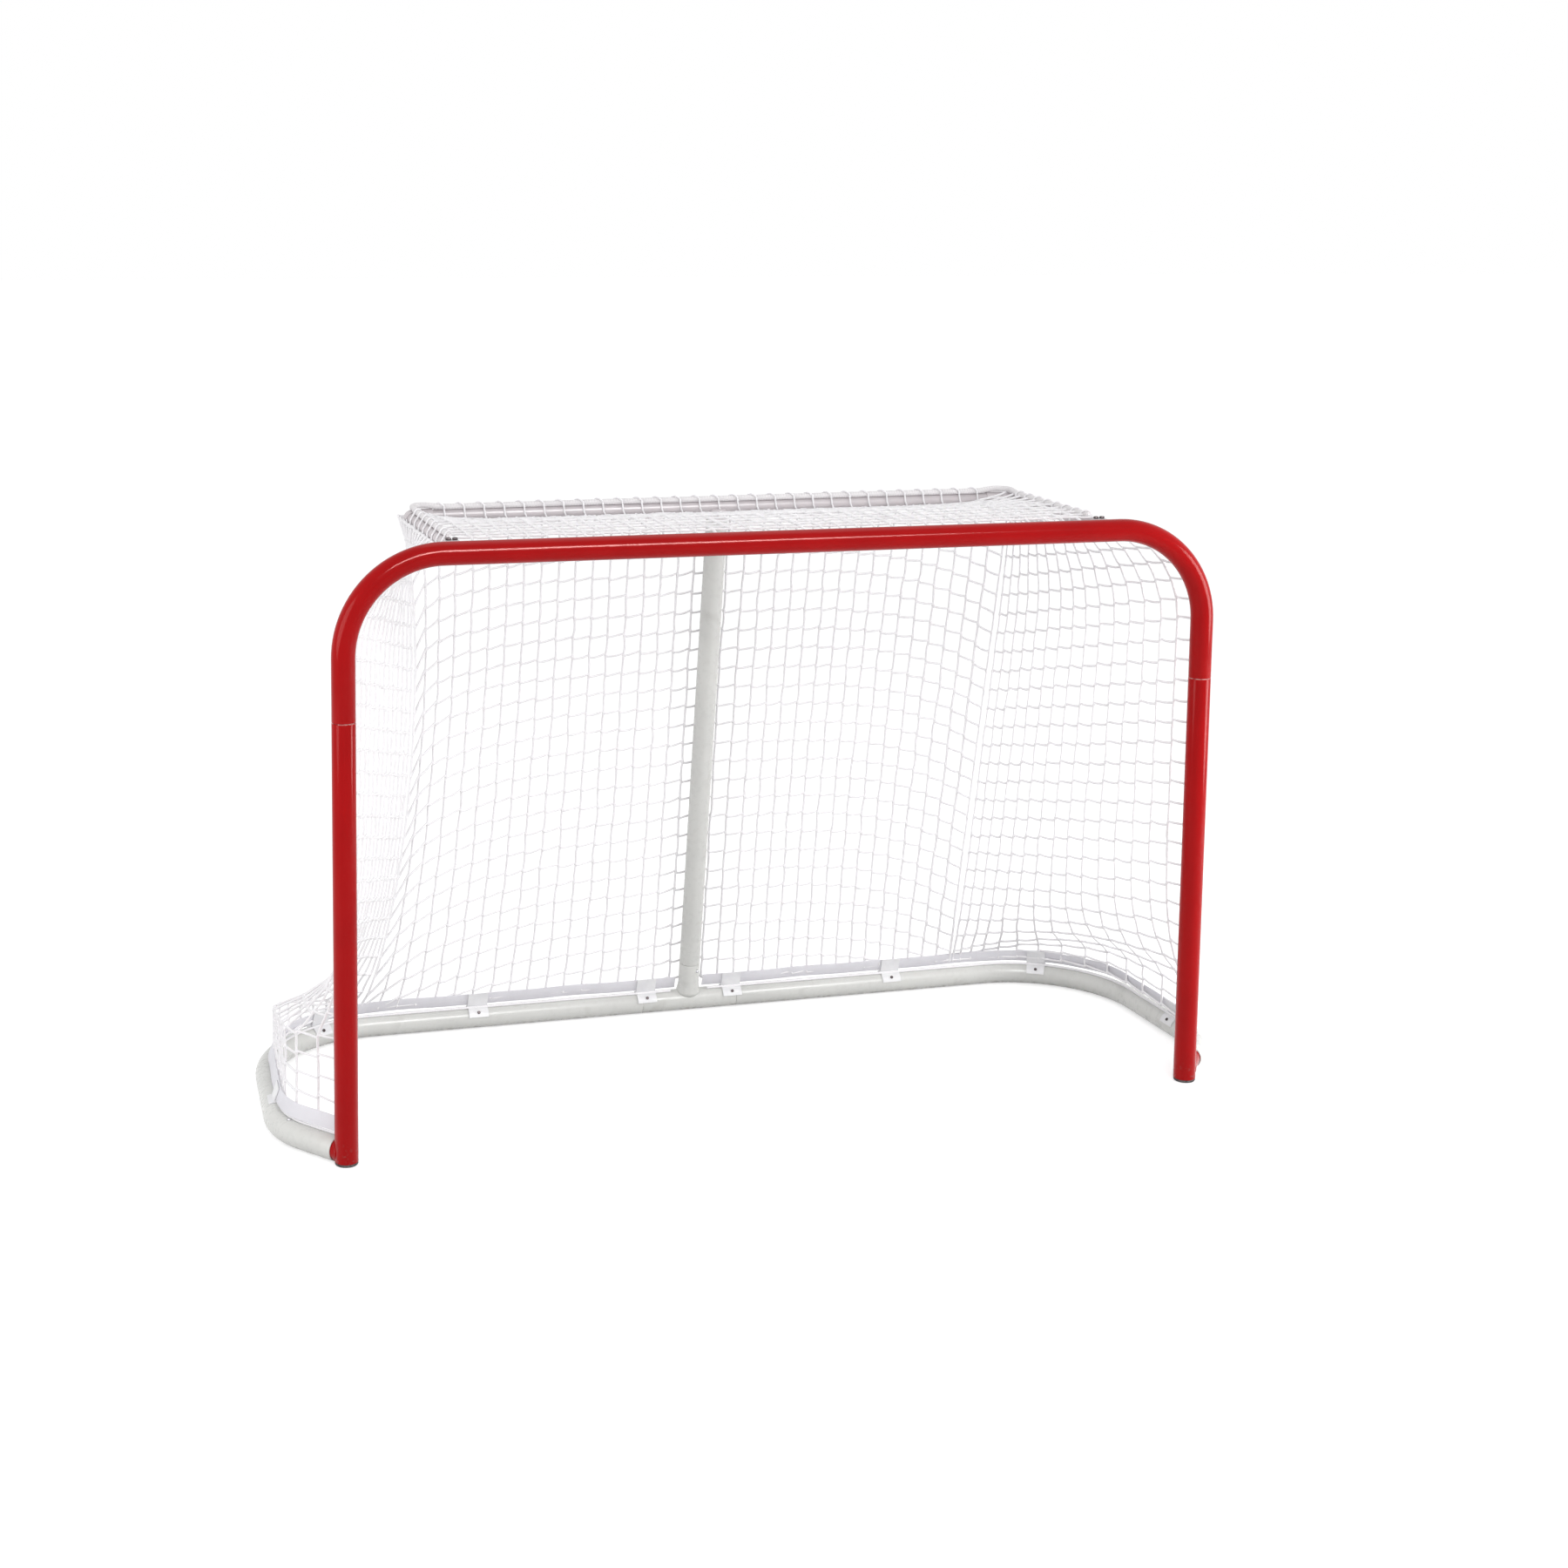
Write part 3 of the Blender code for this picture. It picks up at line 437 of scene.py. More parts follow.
def pair(name, parts, look, nodes, loop=False):
    """The same piece at the right and, mirrored, at the left. {} in a name takes the side's word."""
    for word, shapes in (("right", parts), ("left", [mirrored(part) for part in parts])):
        piece = skin(name.format(word), shapes, look, loop)
        place_on(piece, [nodes_name.format(word) for nodes_name in nodes])


def straight_pipe(start, end, up, outer, wall, sides, roll=TUBE_ROLL):
    """Rings of an open tube along the straight line start + distance x direction."""
    length = np.linalg.norm(np.subtract(end, start))
    direction = unit(np.subtract(end, start))

    def place(distance):
        return start + distance[:, None] * direction, np.tile(direction, (len(distance), 1))

    return pipe(place, np.concatenate(lips(0.0, length, roll)), up, outer, wall, sides, roll)


def dress(node_name, look):
    """Gives a CAD node that stays in view a better material."""
    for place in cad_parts[node_name].material_slots:
        place.material = look


post_foot = (POST_X, POST_Y, post_low.z)
post_head = (POST_X, POST_Y, post_high.z)
post_rings = straight_pipe(post_foot, post_head, BACK, FRAME_R, FRAME_WALL, FRAME_SIDES)
pair("red_{}_post", [post_rings], red_coat, ["{}_post"], loop=True)

plug_rubber = coated(
    "plug_rubber", PLUG_BLACK, PLUG_DUST, rough=(0.62, 0.80), patch=0.006, grain=0.0007, relief=0.00006,
    Specular_IOR_Level=0.35
)
plug_rings = lathe((POST_X, POST_Y, 0.0), UP, PLUG_PROFILE, FRAME_SIDES)
pair("{}_post_plug", [plug_rings], plug_rubber, ["{}_foot_plug"])

bare_steel = coated(
    "bare_steel", STEEL, STEEL_DULL, rough=(0.26, 0.42), patch=0.012, grain=0.0006, relief=0.00003,
    Metallic=1.0
)
for sleeve_name in ("post_sleeve", "tee_sleeve"):
    for side_word in ("left", "right"):
        dress(f"{side_word}_{sleeve_name}", bare_steel)
dress("centre_post_sleeve", bare_steel)


# Foot stubs. A short red tube welded square to the back of each post's foot, with a rippled bead
# round the weld. The white base tube slips over it, and leaves more of it bare at the right.
BASE_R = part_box("right_base_tube")[1].z / 2
BACK_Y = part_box("right_base_tube")[1].y - BASE_R
SPLAY = math.radians(38.0)
SPLAY_LENGTH = 0.120
SIDE_BEND_R = 0.190
TAPER = math.radians(3.0)
CORNER_R = 0.275
STUB_R = 0.0219
STUB_CUT = 0.030
STUB_END = 0.200
STUB_PARTS = 8
STUB_SIDES = 48
BEAD_R = 0.0021
BEAD_RIPPLE = 0.0005
BEAD_WAVES = 34
BEAD_STATIONS = 204
BEAD_SIDES = 8

side_run = BACK_Y - POST_Y - SPLAY_LENGTH * math.cos(SPLAY)
side_run -= SIDE_BEND_R * (math.sin(SPLAY) + math.sin(TAPER)) + CORNER_R * (1 - math.sin(TAPER))
side_run /= math.cos(TAPER)
back_run = POST_X + SPLAY_LENGTH * math.sin(SPLAY) + SIDE_BEND_R * (math.cos(TAPER) - math.cos(SPLAY))
back_run -= side_run * math.sin(TAPER) + CORNER_R * math.cos(TAPER)
side_arc = SIDE_BEND_R * (SPLAY + TAPER)
corner_arc = CORNER_R * (math.pi / 2 - TAPER)
base_marks = np.cumsum([0, SPLAY_LENGTH, side_arc, side_run, corner_arc, back_run])
base_headings = [SPLAY, SPLAY, -TAPER, -TAPER, -math.pi / 2, -math.pi / 2]
base_line = bent((POST_X, POST_Y, BASE_R), BACK, RIGHT, base_marks, base_headings)
BASE_HALF = base_marks[-1]

stub_stations = np.concatenate([[0.0, STUB_CUT], np.linspace(SPLAY_LENGTH, STUB_END, STUB_PARTS)])
stub_path, stub_ahead = base_line(stub_stations)
stub_rings = wheels(stub_path, UP, STUB_R, STUB_SIDES, stub_ahead)
stub_side = STUB_R * np.cos(math.tau * np.arange(STUB_SIDES) / STUB_SIDES)
stub_rings[0] += np.sqrt(FRAME_R ** 2 - stub_side ** 2)[:, None] * stub_ahead[0]
pair("red_{}_foot_stub", [stub_rings], red_coat, ["{}_foot_stub"])

bead_turn = math.tau * np.arange(BEAD_STATIONS) / BEAD_STATIONS
bead_across = np.cross(UP, stub_ahead[0])
bead_spokes = np.cos(bead_turn)[:, None] * bead_across + np.sin(bead_turn)[:, None] * UP
bead_path = stub_path[0] + STUB_R * bead_spokes
bead_path += np.sqrt(FRAME_R ** 2 - (STUB_R * np.cos(bead_turn)) ** 2)[:, None] * stub_ahead[0]
bead_radius = BEAD_R + BEAD_RIPPLE * np.abs(np.sin(bead_turn * BEAD_WAVES / 2))
bead_along = np.roll(bead_path, -1, 0) - np.roll(bead_path, 1, 0)
bead_rings = wheels(bead_path, stub_ahead[0], bead_radius, BEAD_SIDES, bead_along)
pair("red_{}_foot_weld", [bead_rings], red_coat, [], loop=True)


# Base tubes. A white coated tube on each side lies on the floor, swept out from the post, along the
# side and round to the tee at the back. Its underside is scuffed where it rubs on the floor.
BASE_STARTS = {"left": 0.0255, "right": 0.0750}
BASE_WALL = 0.0021
BASE_SIDES = 56
SIDE_BEND_PARTS = 18
CORNER_PARTS = 36
TEE_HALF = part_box("base_tee")[1].x + SEAM_GAP
RUB_Z = (0.002, 0.012)
RUB_SIZE = 0.010
RUB_LEVELS = (0.48, 0.60)
RUB_MATT = 0.2
DUST_SIZE = 0.055
DUST_LEVELS = (0.60, 0.74)
DUST_MOST = 0.22
WHITE = (0.615, 0.618, 0.597)
WHITE_SHADE = (0.575, 0.578, 0.560)
WHITE_SCUFF = (0.33, 0.32, 0.30)
BUTTON_NAMES = ("right_base_button", "left_base_button", "centre_post_button")
HOLE_REACH = 0.0048
HOLE_EDGE = 0.0002


def painted_hole_shade(tree):
    """Painted shade for the holes, which are not cut: 1 where the surface lies within HOLE_REACH of the
    middle of a spring button, and 0 elsewhere.
    """
    place = node(tree, "ShaderNodeTexCoord").outputs["Object"]
    hole_shades = 0.0
    for button_name in BUTTON_NAMES:
        button_low, button_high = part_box(button_name)
        ends = {0: place, 1: (button_low + button_high) / 2}
        away = node(tree, "ShaderNodeVectorMath", ends, operation="DISTANCE").outputs["Value"]
        hole_shade = ramp(tree, away, HOLE_REACH, HOLE_REACH + HOLE_EDGE, 1.0, 0.0)
        hole_shades = reckoned(tree, "MAXIMUM", hole_shade, hole_shades)
    return hole_shades


def base_wear_and_hole_shade(tree, base, gloss):
    """Grey rubs along the bottom, faint dust marks, and painted shade in place of the hole that each
    button stands in, which is not cut.
    """
    low = ramp(tree, object_axes(tree)[2], *RUB_Z, 1.0, 0.0)
    patches = ramp(tree, noise(tree, RUB_SIZE, FINE_DETAIL, seed=2.6), *RUB_LEVELS)
    rubbed = reckoned(tree, "MULTIPLY", low, patches)
    dust = ramp(tree, noise(tree, DUST_SIZE, FINE_DETAIL, seed=8.8), *DUST_LEVELS, 0.0, DUST_MOST)
    base = mixed(tree, reckoned(tree, "MAXIMUM", rubbed, dust), base, WHITE_SCUFF)
    # Painted shade: the dark plug colour stands in for the shaded hole round each button.
    base = mixed(tree, painted_hole_shade(tree), base, PLUG_BLACK)
    return base, reckoned(tree, "ADD", gloss, reckoned(tree, "MULTIPLY", rubbed, RUB_MATT))


# The white coat also carries the painted shade of the buttons' holes.
white_coat = coated(
    "white_base_coat", WHITE, WHITE_SHADE, rough=(0.24, 0.34), patch=0.14, grain=0.0022, relief=0.00007,
    extra=base_wear_and_hole_shade, Specular_IOR_Level=0.20
)
base_bends = [
    np.linspace(base_marks[1], base_marks[2], SIDE_BEND_PARTS),
    np.linspace(base_marks[3], base_marks[4], CORNER_PARTS),
]
for side_word, base_start in BASE_STARTS.items():
    base_first, base_last = lips(base_start, BASE_HALF - TEE_HALF, TUBE_ROLL)
    base_stations = np.concatenate([base_first, *base_bends, base_last])
    base_rings = pipe(base_line, base_stations, UP, BASE_R, BASE_WALL, BASE_SIDES)
    if side_word == "left":
        base_rings = mirrored(base_rings)
    base_tube = skin(f"white_{side_word}_base_tube", [base_rings], white_coat, loop=True)
    place_on(base_tube, [f"{side_word}_base_tube"])


# Tee. A length of the same tube in the middle of the back, with a flared socket that leans forward
# to take the centre post. The two are cast as one and coated white, and a seam shows at each end.
rail_low, rail_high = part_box("rear_rail")
RAIL_R = (rail_high.z - rail_low.z) / 2
RAIL_Y = (rail_high.y + rail_low.y) / 2
RAIL_Z = (rail_high.z + rail_low.z) / 2
TEE_SOCKET = 0.095
CENTRE_R = 0.024
CENTRE_BORE = 0.022
SOCKET_PROFILE = (
    (0.0120, 0.0020), (0.0200, 0.0115), (0.0266, 0.0195), (0.0279, 0.0225), (0.0276, 0.0258),
    (0.0264, 0.0308), (0.0252, 0.0365), (0.0244, 0.0425), (CENTRE_R, 0.0500),
    (CENTRE_R, TEE_SOCKET - 0.0012), (0.02365, TEE_SOCKET - 0.0004), (0.0230, TEE_SOCKET),
    (CENTRE_BORE, TEE_SOCKET), (CENTRE_BORE, 0.085),
)
tee_centre = np.array([0.0, BACK_Y, BASE_R])
lean = unit((0.0, RAIL_Y - BACK_Y, RAIL_Z - BASE_R))
tee_reach = TEE_HALF - SEAM_GAP
tee_ends = tee_centre - tee_reach * RIGHT, tee_centre + tee_reach * RIGHT
tee_rings = straight_pipe(*tee_ends, UP, BASE_R, BASE_WALL, BASE_SIDES)
place_on(skin("white_tee_tube", [tee_rings], white_coat, loop=True), ["base_tee"])
socket_rings = lathe(tee_centre, lean, SOCKET_PROFILE, BASE_SIDES)
place_on(skin("white_tee_socket", [socket_rings], white_coat), ["base_tee"])


# Centre post and saddle. A white tube leans forward from the tee's socket to the rear rail, and a
# turned saddle plugged in its top carries the rail in a round cradle.
POST_GAP = 0.0006
SADDLE_NECK = 0.012
SADDLE_ROUND = 0.0006
WELD_WITHIN = 0.00001
FLAT = math.radians(1.0)
SHARP = math.radians(32.0)
ROUND_PARTS = 2
post_length = (RAIL_Z - BASE_R) / lean[2]
centre_start = tee_centre + (TEE_SOCKET + POST_GAP) * lean
centre_end = tee_centre + (post_length - RAIL_R - SADDLE_NECK) * lean
centre_wall = CENTRE_R - CENTRE_BORE
centre_rings = straight_pipe(centre_start, centre_end, RIGHT, CENTRE_R, centre_wall, FRAME_SIDES)
centre_post = skin("white_centre_post", [centre_rings], white_coat, loop=True)
place_on(centre_post, ["centre_post"])


def softened(name, cad_node, width, look):
    """A copy of a CAD node, in its place, with its loose triangles merged and its edges rounded."""
    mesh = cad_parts[cad_node].data.copy()
    work = bmesh.new()
    work.from_mesh(mesh)
    bmesh.ops.remove_doubles(work, verts=work.verts, dist=WELD_WITHIN)
    bmesh.ops.dissolve_limit(work, angle_limit=FLAT, verts=work.verts, edges=work.edges)
    work.to_mesh(mesh)
    work.free()
    mesh.materials.clear()
    mesh.materials.append(look)
    mesh.shade_smooth()
    mesh.set_sharp_from_angle(angle=SHARP)
    made = bpy.data.objects.new(name, mesh)
    bpy.context.scene.collection.objects.link(made)
    rounding = made.modifiers.new("Rounded edges", "BEVEL")
    rounding.width = width
    rounding.segments = ROUND_PARTS
    rounding.limit_method = "ANGLE"
    rounding.angle_limit = SHARP
    place_on(made, [cad_node])


# Painted shade: the white of the rail, arms, elbows, saddle and brackets is darker and more mauve-grey
# than the base's white, as shade.
RAIL_SHADED_WHITE = (0.540, 0.500, 0.515)
RAIL_SHADE = (0.505, 0.466, 0.481)
shaded_rail_coat = coated(
    "rail_white_coat_painted_shade", RAIL_SHADED_WHITE, RAIL_SHADE, rough=(0.32, 0.42), patch=0.09, grain=0.0018,
    relief=0.00006, Specular_IOR_Level=0.45
)
softened("white_rail_saddle", "rail_saddle", SADDLE_ROUND, shaded_rail_coat)


# Rear rail and arms. Thin white tubes carry the roof of the net: the rail across the back, an arm
# down each side, and an elbow slipped over the ends of both at each corner.
RAIL_TUBE = {"outer": RAIL_R, "wall": 0.0016, "sides": 36, "roll": 0.0006}
arm_low, arm_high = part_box("right_top_arm")
ARM_X = (arm_low.x + arm_high.x) / 2
ELBOW_R = 0.0150
ELBOW_WALL = 0.0022
ELBOW_BEND = 0.030
ELBOW_LEG = 0.022
ELBOW_PARTS = 16
ELBOW_SIDES = 36
rail_rings = straight_pipe((rail_low.x, RAIL_Y, RAIL_Z), (rail_high.x, RAIL_Y, RAIL_Z), UP, **RAIL_TUBE)
place_on(skin("white_rear_rail", [rail_rings], shaded_rail_coat, loop=True), ["rear_rail"])
arm_rings = straight_pipe((ARM_X, arm_low.y, RAIL_Z), (ARM_X, arm_high.y, RAIL_Z), UP, **RAIL_TUBE)
pair("white_{}_top_arm", [arm_rings], shaded_rail_coat, ["{}_top_arm"], loop=True)
elbow_arc = ELBOW_BEND * math.pi / 2
elbow_marks = np.cumsum([0, ELBOW_LEG, elbow_arc, ELBOW_LEG])
elbow_start = (ARM_X, RAIL_Y - ELBOW_BEND - ELBOW_LEG, RAIL_Z)
elbow_line = bent(elbow_start, BACK, -RIGHT, elbow_marks, [0, 0, math.pi / 2, math.pi / 2])
elbow_first, elbow_last = lips(0.0, elbow_marks[-1], TUBE_ROLL)
elbow_stations = np.concatenate([elbow_first, np.linspace(*elbow_marks[1:3], ELBOW_PARTS), elbow_last])
elbow_rings = pipe(elbow_line, elbow_stations, UP, ELBOW_R, ELBOW_WALL, ELBOW_SIDES)
pair("white_{}_rail_elbow", [elbow_rings], shaded_rail_coat, ["{}_rail_elbow"], loop=True)


# Brackets. A cast block behind the crossbar takes each arm on a spigot, and two dark bolts with
# hexagon sockets hold it down from above.
BOLT_DARK = (0.050, 0.042, 0.046)
BOLT_WORN = (0.125, 0.105, 0.105)
BOLT_SIDES = 24
BOLT_HEAD = {"head_low": -0.0042, "head_high": 0.0, "hex_half": 0.0024, "depth": 0.0024}
HEAD_FOOT = ((0.50, 0.0), (0.96, 0.0), (1.0, 0.0003))
HEAD_CROWN = ((1.0, -0.0011), (0.93, -0.0004), (0.82, 0.0))
HEX_MOUTH = ((1.22, 0.0), (1.16, -0.0003), (1.0, -0.0004))
HEX_TURN = math.radians(60.0)
BRACKET_ROUND = 0.0009
for side_word in ("left", "right"):
    bracket_node = f"{side_word}_arm_bracket"
    softened(f"white_{bracket_node}", bracket_node, BRACKET_ROUND, shaded_rail_coat)
dark_steel = coated(
    "dark_bolt_steel", BOLT_DARK, BOLT_WORN, rough=(0.34, 0.52), patch=0.004, grain=0.0004,
    relief=0.00003, Metallic=1.0
)


def socket_head(base, axis, head_r, head_low, head_high, hex_half, depth):
    """Rings of a round head with a hexagon socket.

    The head is turned, by shares of its radius and of the hexagon's half width. In the socket the
    radius is that half width over the cosine of the angle from the middle of a flat.
    """
    turned = [(head_r * share, head_low + rise) for share, rise in HEAD_FOOT]
    turned += [(head_r * share, head_high + rise) for share, rise in HEAD_CROWN]
    turned += [(hex_half * share, head_high + rise) for share, rise in HEX_MOUTH]
    turned.append((hex_half, head_high - depth))
    rings = lathe(base, axis, turned, BOLT_SIDES)
    turn = math.tau * np.arange(BOLT_SIDES) / BOLT_SIDES
    flat = 1 / np.cos((turn + HEX_TURN / 2) % HEX_TURN - HEX_TURN / 2)
    centres = rings[-2:].mean(1, keepdims=True)
    rings[-2:] = centres + (rings[-2:] - centres) * flat[:, None]
    return rings


for side_word in ("left", "right"):
    for bolt_word in ("inner", "outer"):
        bolt_node = f"{side_word}_bracket_bolt_{bolt_word}"
        bolt_low, bolt_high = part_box(bolt_node)
        bolt_middle = (bolt_low + bolt_high) / 2
        bolt_top = (bolt_middle.x, bolt_middle.y, bolt_high.z)
        bolt_rings = socket_head(bolt_top, UP, (bolt_high.x - bolt_low.x) / 2, **BOLT_HEAD)
        bolt = skin(f"dark_{side_word}_bolt_{bolt_word}", [bolt_rings], dark_steel)
        place_on(bolt, [bolt_node])


# Spring buttons. A domed steel button stands in a hole on top of each base tube and on the front of
# the tee's socket. The hole is not cut, and is painted as shade on the white coat. It is pressed in to
# pull the tubes apart.
BUTTON_SIDES = 28
BUTTON_PLACE = 0.165
BUTTON_TURN = math.radians(35.0)
BUTTON_ALONG_SOCKET = 0.080
BUTTON_PROFILE = (
    (0.0030, 0.0165), (0.0054, 0.0168), (0.0054, 0.0180), (0.0038, 0.0183), (0.0038, 0.0254),
    (0.0036, 0.0261), (0.0031, 0.0267), (0.0023, 0.0272), (0.0012, 0.0275), (0.0004, 0.0276),
)
button_at = base_line(np.array([BUTTON_PLACE]))[0][0]
to_mouth = unit(np.cross(RIGHT, lean))
button_out = math.sin(BUTTON_TURN) * RIGHT + math.cos(BUTTON_TURN) * to_mouth
button_bases = (button_at, button_at * MIRROR, tee_centre + BUTTON_ALONG_SOCKET * lean)
button_axes = (UP, UP, button_out)
for button_name, button_base, button_axis in zip(BUTTON_NAMES, button_bases, button_axes):
    button_rings = lathe(button_base, button_axis, BUTTON_PROFILE, BUTTON_SIDES)
    button = skin(f"steel_{button_name}", [button_rings], bare_steel)
    place_on(button, [button_name], f"{button_name}_body")


# Net band. A strip of grey plastic stands over the base tube, inside the net, in two lengths a side.
# It leans towards the mouth, and rises a little between the clips that pull it down.
BAND_LOW = np.array([0.003, 0.0560])
BAND_HIGH = np.array([0.013, 0.0845])
BAND_HALF_T = 0.0010
BAND_START = 0.030
BAND_POST_GAP = 0.034
BAND_GAP = 0.001
BAND_RISE = 0.0018
BAND_PULLED = 0.3
BAND_RISE_REACH = 0.19
BAND_WAVE = 0.0010
BAND_WAVE_TURN = 31.0
BAND_WAVE_REACH = 0.10
BAND_STEP = 0.008
BAND_SIDES = 16
CLIP_PLACES = np.array([0.286, 0.757, 1.137, 1.542])
BAND_GREY = (0.690, 0.682, 0.720)
BAND_SHADE = (0.650, 0.642, 0.678)
band_grey = coated(
    "band_grey_plastic", BAND_GREY, BAND_SHADE, rough=(0.45, 0.60), patch=0.05, grain=0.0014,
    relief=0.00006, Specular_IOR_Level=0.40
)
band_up = unit(BAND_HIGH - BAND_LOW)
band_out = np.array([band_up[1], -band_up[0]])


def band_section(distance):
    """The band's section at each distance: two straight faces with half-round edges.

    Between the clips it rises with the distance to the nearest one, and waves in and out by a sine.
    """
    turn = math.tau * (np.arange(BAND_SIDES) + 0.5) / BAND_SIDES
    half = np.linalg.norm(BAND_HIGH - BAND_LOW) / 2
    rise = np.sign(np.sin(turn)) * (half - BAND_HALF_T) + BAND_HALF_T * np.sin(turn)
    offset = BAND_HALF_T * np.cos(turn)
    near = np.abs(distance[:, None] - CLIP_PLACES).min(1)
    lifted = BAND_RISE * (np.clip(near / BAND_RISE_REACH, 0, 1) - BAND_PULLED)
    waved = BAND_WAVE * np.sin(distance * BAND_WAVE_TURN) * np.clip(near / BAND_WAVE_REACH, 0, 1)
    centre = (BAND_LOW + BAND_HIGH) / 2 + lifted[:, None] * band_up + waved[:, None] * band_out
    return centre[:, None] + rise[:, None] * band_up + offset[:, None] * band_out


def carried(place, distance, section):
    """A section of (across, up) offsets carried along a path on the floor. Across is up x tangent."""
    path, tangent = place(distance)
    across = np.cross(UP, tangent)
    ground = path * (1, 1, 0)
    return ground[:, None] + section[..., :1] * across[:, None] + section[..., 1:] * UP


band_lengths = {
    "side": (BAND_START, CLIP_PLACES[1] - BAND_GAP),
    "back": (CLIP_PLACES[1] + BAND_GAP, BASE_HALF - BAND_POST_GAP),
}
for band_word, (band_start, band_end) in band_lengths.items():
    band_stations = np.linspace(band_start, band_end, round((band_end - band_start) / BAND_STEP))
    band_rings = carried(base_line, band_stations, band_section(band_stations))
    band_node = "{}_" + band_word + "_band"
    pair("grey_" + band_node, [band_rings], band_grey, [band_node])


# Clips. Eight white moulded saddles sit on the base tube and hold the band in two jaws, each fixed
# with a dark socket screw.
CLIP_WHITE = (0.74, 0.74, 0.75)
CLIP_SHADE = (0.68, 0.68, 0.70)
CLIP_ROUND = 0.0007
CLIP_TOP = BASE_R + 0.0029
SCREW_TURN = math.radians(38.0)
SCREW_HEAD = {
    "head_r": 0.0036, "head_low": CLIP_TOP + 0.0002, "head_high": CLIP_TOP + 0.0024,
    "hex_half": 0.0016, "depth": 0.0014,
}
clip_plastic = coated(
    "clip_white_plastic", CLIP_WHITE, CLIP_SHADE, rough=(0.34, 0.48), patch=0.03, grain=0.0012,
    relief=0.00005, Specular_IOR_Level=0.45
)
for clip_number, clip_place in enumerate(CLIP_PLACES, 1):
    for side_word in ("left", "right"):
        clip_node = f"{side_word}_net_clip_{clip_number}"
        softened(f"white_{clip_node}", clip_node, CLIP_ROUND, clip_plastic)
    screw_at, screw_ahead = (part[0] for part in base_line(np.array([clip_place])))
    screw_out = math.cos(SCREW_TURN) * np.cross(UP, screw_ahead) + math.sin(SCREW_TURN) * UP
    screw_rings = socket_head(screw_at, screw_out, **SCREW_HEAD)
    screw_node = "{}_clip_screw_" + str(clip_number)
    pair("dark_" + screw_node, [screw_rings], dark_steel, [screw_node])


# Net. White braided cord of 5.4 mm, knotted into a mesh of about 45 mm in four panels: the back, two
# sides and the roof. It hangs from the rail and the arms, and is drawn in behind the band below.
CORD_R = 0.0027
CORD_SIDES = 6
CORD_WHITE = (0.825, 0.815, 0.832)
# CORD_SHADE tints the braid's soft patches, and is the painted shade in its grooves.
CORD_SHADE = (0.800, 0.790, 0.808)
CORD_ROUGH = (0.74, 0.92)
CORD_SHEEN = 0.15
CORD_GRAIN = 0.004
CORD_PATCH = 0.09
CORD_PATCH_DETAIL = 4.0
CORD_PATCH_LEVELS = (0.42, 0.66)
CORD_PATCH_MOST = 0.45
BRAID_PITCH = 0.0062
BRAID_HEIGHT = 0.00018
BRAID_STRENGTH = 0.8
GROOVE_SHADE_LEVELS = (-0.2, 0.5)
GROOVE_SHADE_MOST = 0.75


def braided(name, colour, shade):
    """Braided cord: two families of spiral strands in height, painted shade between them, and soft
    patches.

    Each family is the sine of (two turns round plus or minus the length over the pitch).
    """
    look = bpy.data.materials.new(name)
    look.use_nodes = True
    tree = look.node_tree
    shader = tree.nodes["Principled BSDF"]
    marks = node(tree, "ShaderNodeUVMap", uv_map="Along").outputs[0]
    turn, length, _ = node(tree, "ShaderNodeSeparateXYZ", {0: marks}).outputs
    turns = reckoned(tree, "MULTIPLY", turn, 2 * math.tau)
    lengths = reckoned(tree, "MULTIPLY", length, math.tau / BRAID_PITCH)
    one_way = reckoned(tree, "SINE", reckoned(tree, "ADD", turns, lengths))
    other_way = reckoned(tree, "SINE", reckoned(tree, "SUBTRACT", turns, lengths))
    height = reckoned(tree, "MAXIMUM", one_way, other_way)
    # Painted shade: the grooves between the strands are mixed towards the shade colour.
    groove_shade = ramp(tree, height, *GROOVE_SHADE_LEVELS, GROOVE_SHADE_MOST, 0.0)
    patch = noise(tree, CORD_PATCH, CORD_PATCH_DETAIL, seed=4.4)
    patch = ramp(tree, patch, *CORD_PATCH_LEVELS, 0.0, CORD_PATCH_MOST)
    base = mixed(tree, reckoned(tree, "MAXIMUM", groove_shade, patch), colour, shade)
    rough = ramp(tree, noise(tree, CORD_GRAIN, seed=6.1), *GLOSS_LEVELS, *CORD_ROUGH)
    relief = {"Height": height, "Distance": BRAID_HEIGHT, "Strength": BRAID_STRENGTH}
    bump = node(tree, "ShaderNodeBump", relief)
    tree.links.new(base, shader.inputs["Base Color"])
    tree.links.new(bump.outputs[0], shader.inputs["Normal"])
    tree.links.new(rough, shader.inputs["Roughness"])
    shader.inputs["Sheen Weight"].default_value = CORD_SHEEN
    look.diffuse_color = (*colour, 1.0)
    return look


net_cord = braided("net_cord_braid", CORD_WHITE, CORD_SHADE)

# The net's walls: rows and columns, the edges they hang from, and the two folds
NET_ROWS = 28
NET_PITCH = 0.0453
NET_ROWS_ABOVE = 2.6
NET_SELVAGE = 0.03
SIDE_COLUMNS = 16
BACK_COLUMNS = 36
NET_OUTSIDE = 0.0185
NET_FRONT = 0.032
NET_UNDER_BAR = 0.002
NET_FIRST = 0.036
NET_BEHIND_POST = 0.0292
NET_PUSHED_HALF = 0.115
NET_TOP_Z = RAIL_Z - 0.004
NET_LOW = (0.0055, 0.070)
BASE_GATHER = 1.35
BASE_LEAN = 12
BOW_FLAT = 0.7
BOW_REACH = 0.30
BOW_NARROW = 0.13
DIP_POWERS = (3.6, 24.0)
LEFT_FOLD = {
    "low": 0.860, "inward": 0.062, "ahead": 0.060, "pitch": 0.0485, "gather": 1.0,
    "gentle_dip": 0.26, "steep_dip": 0.36,
}
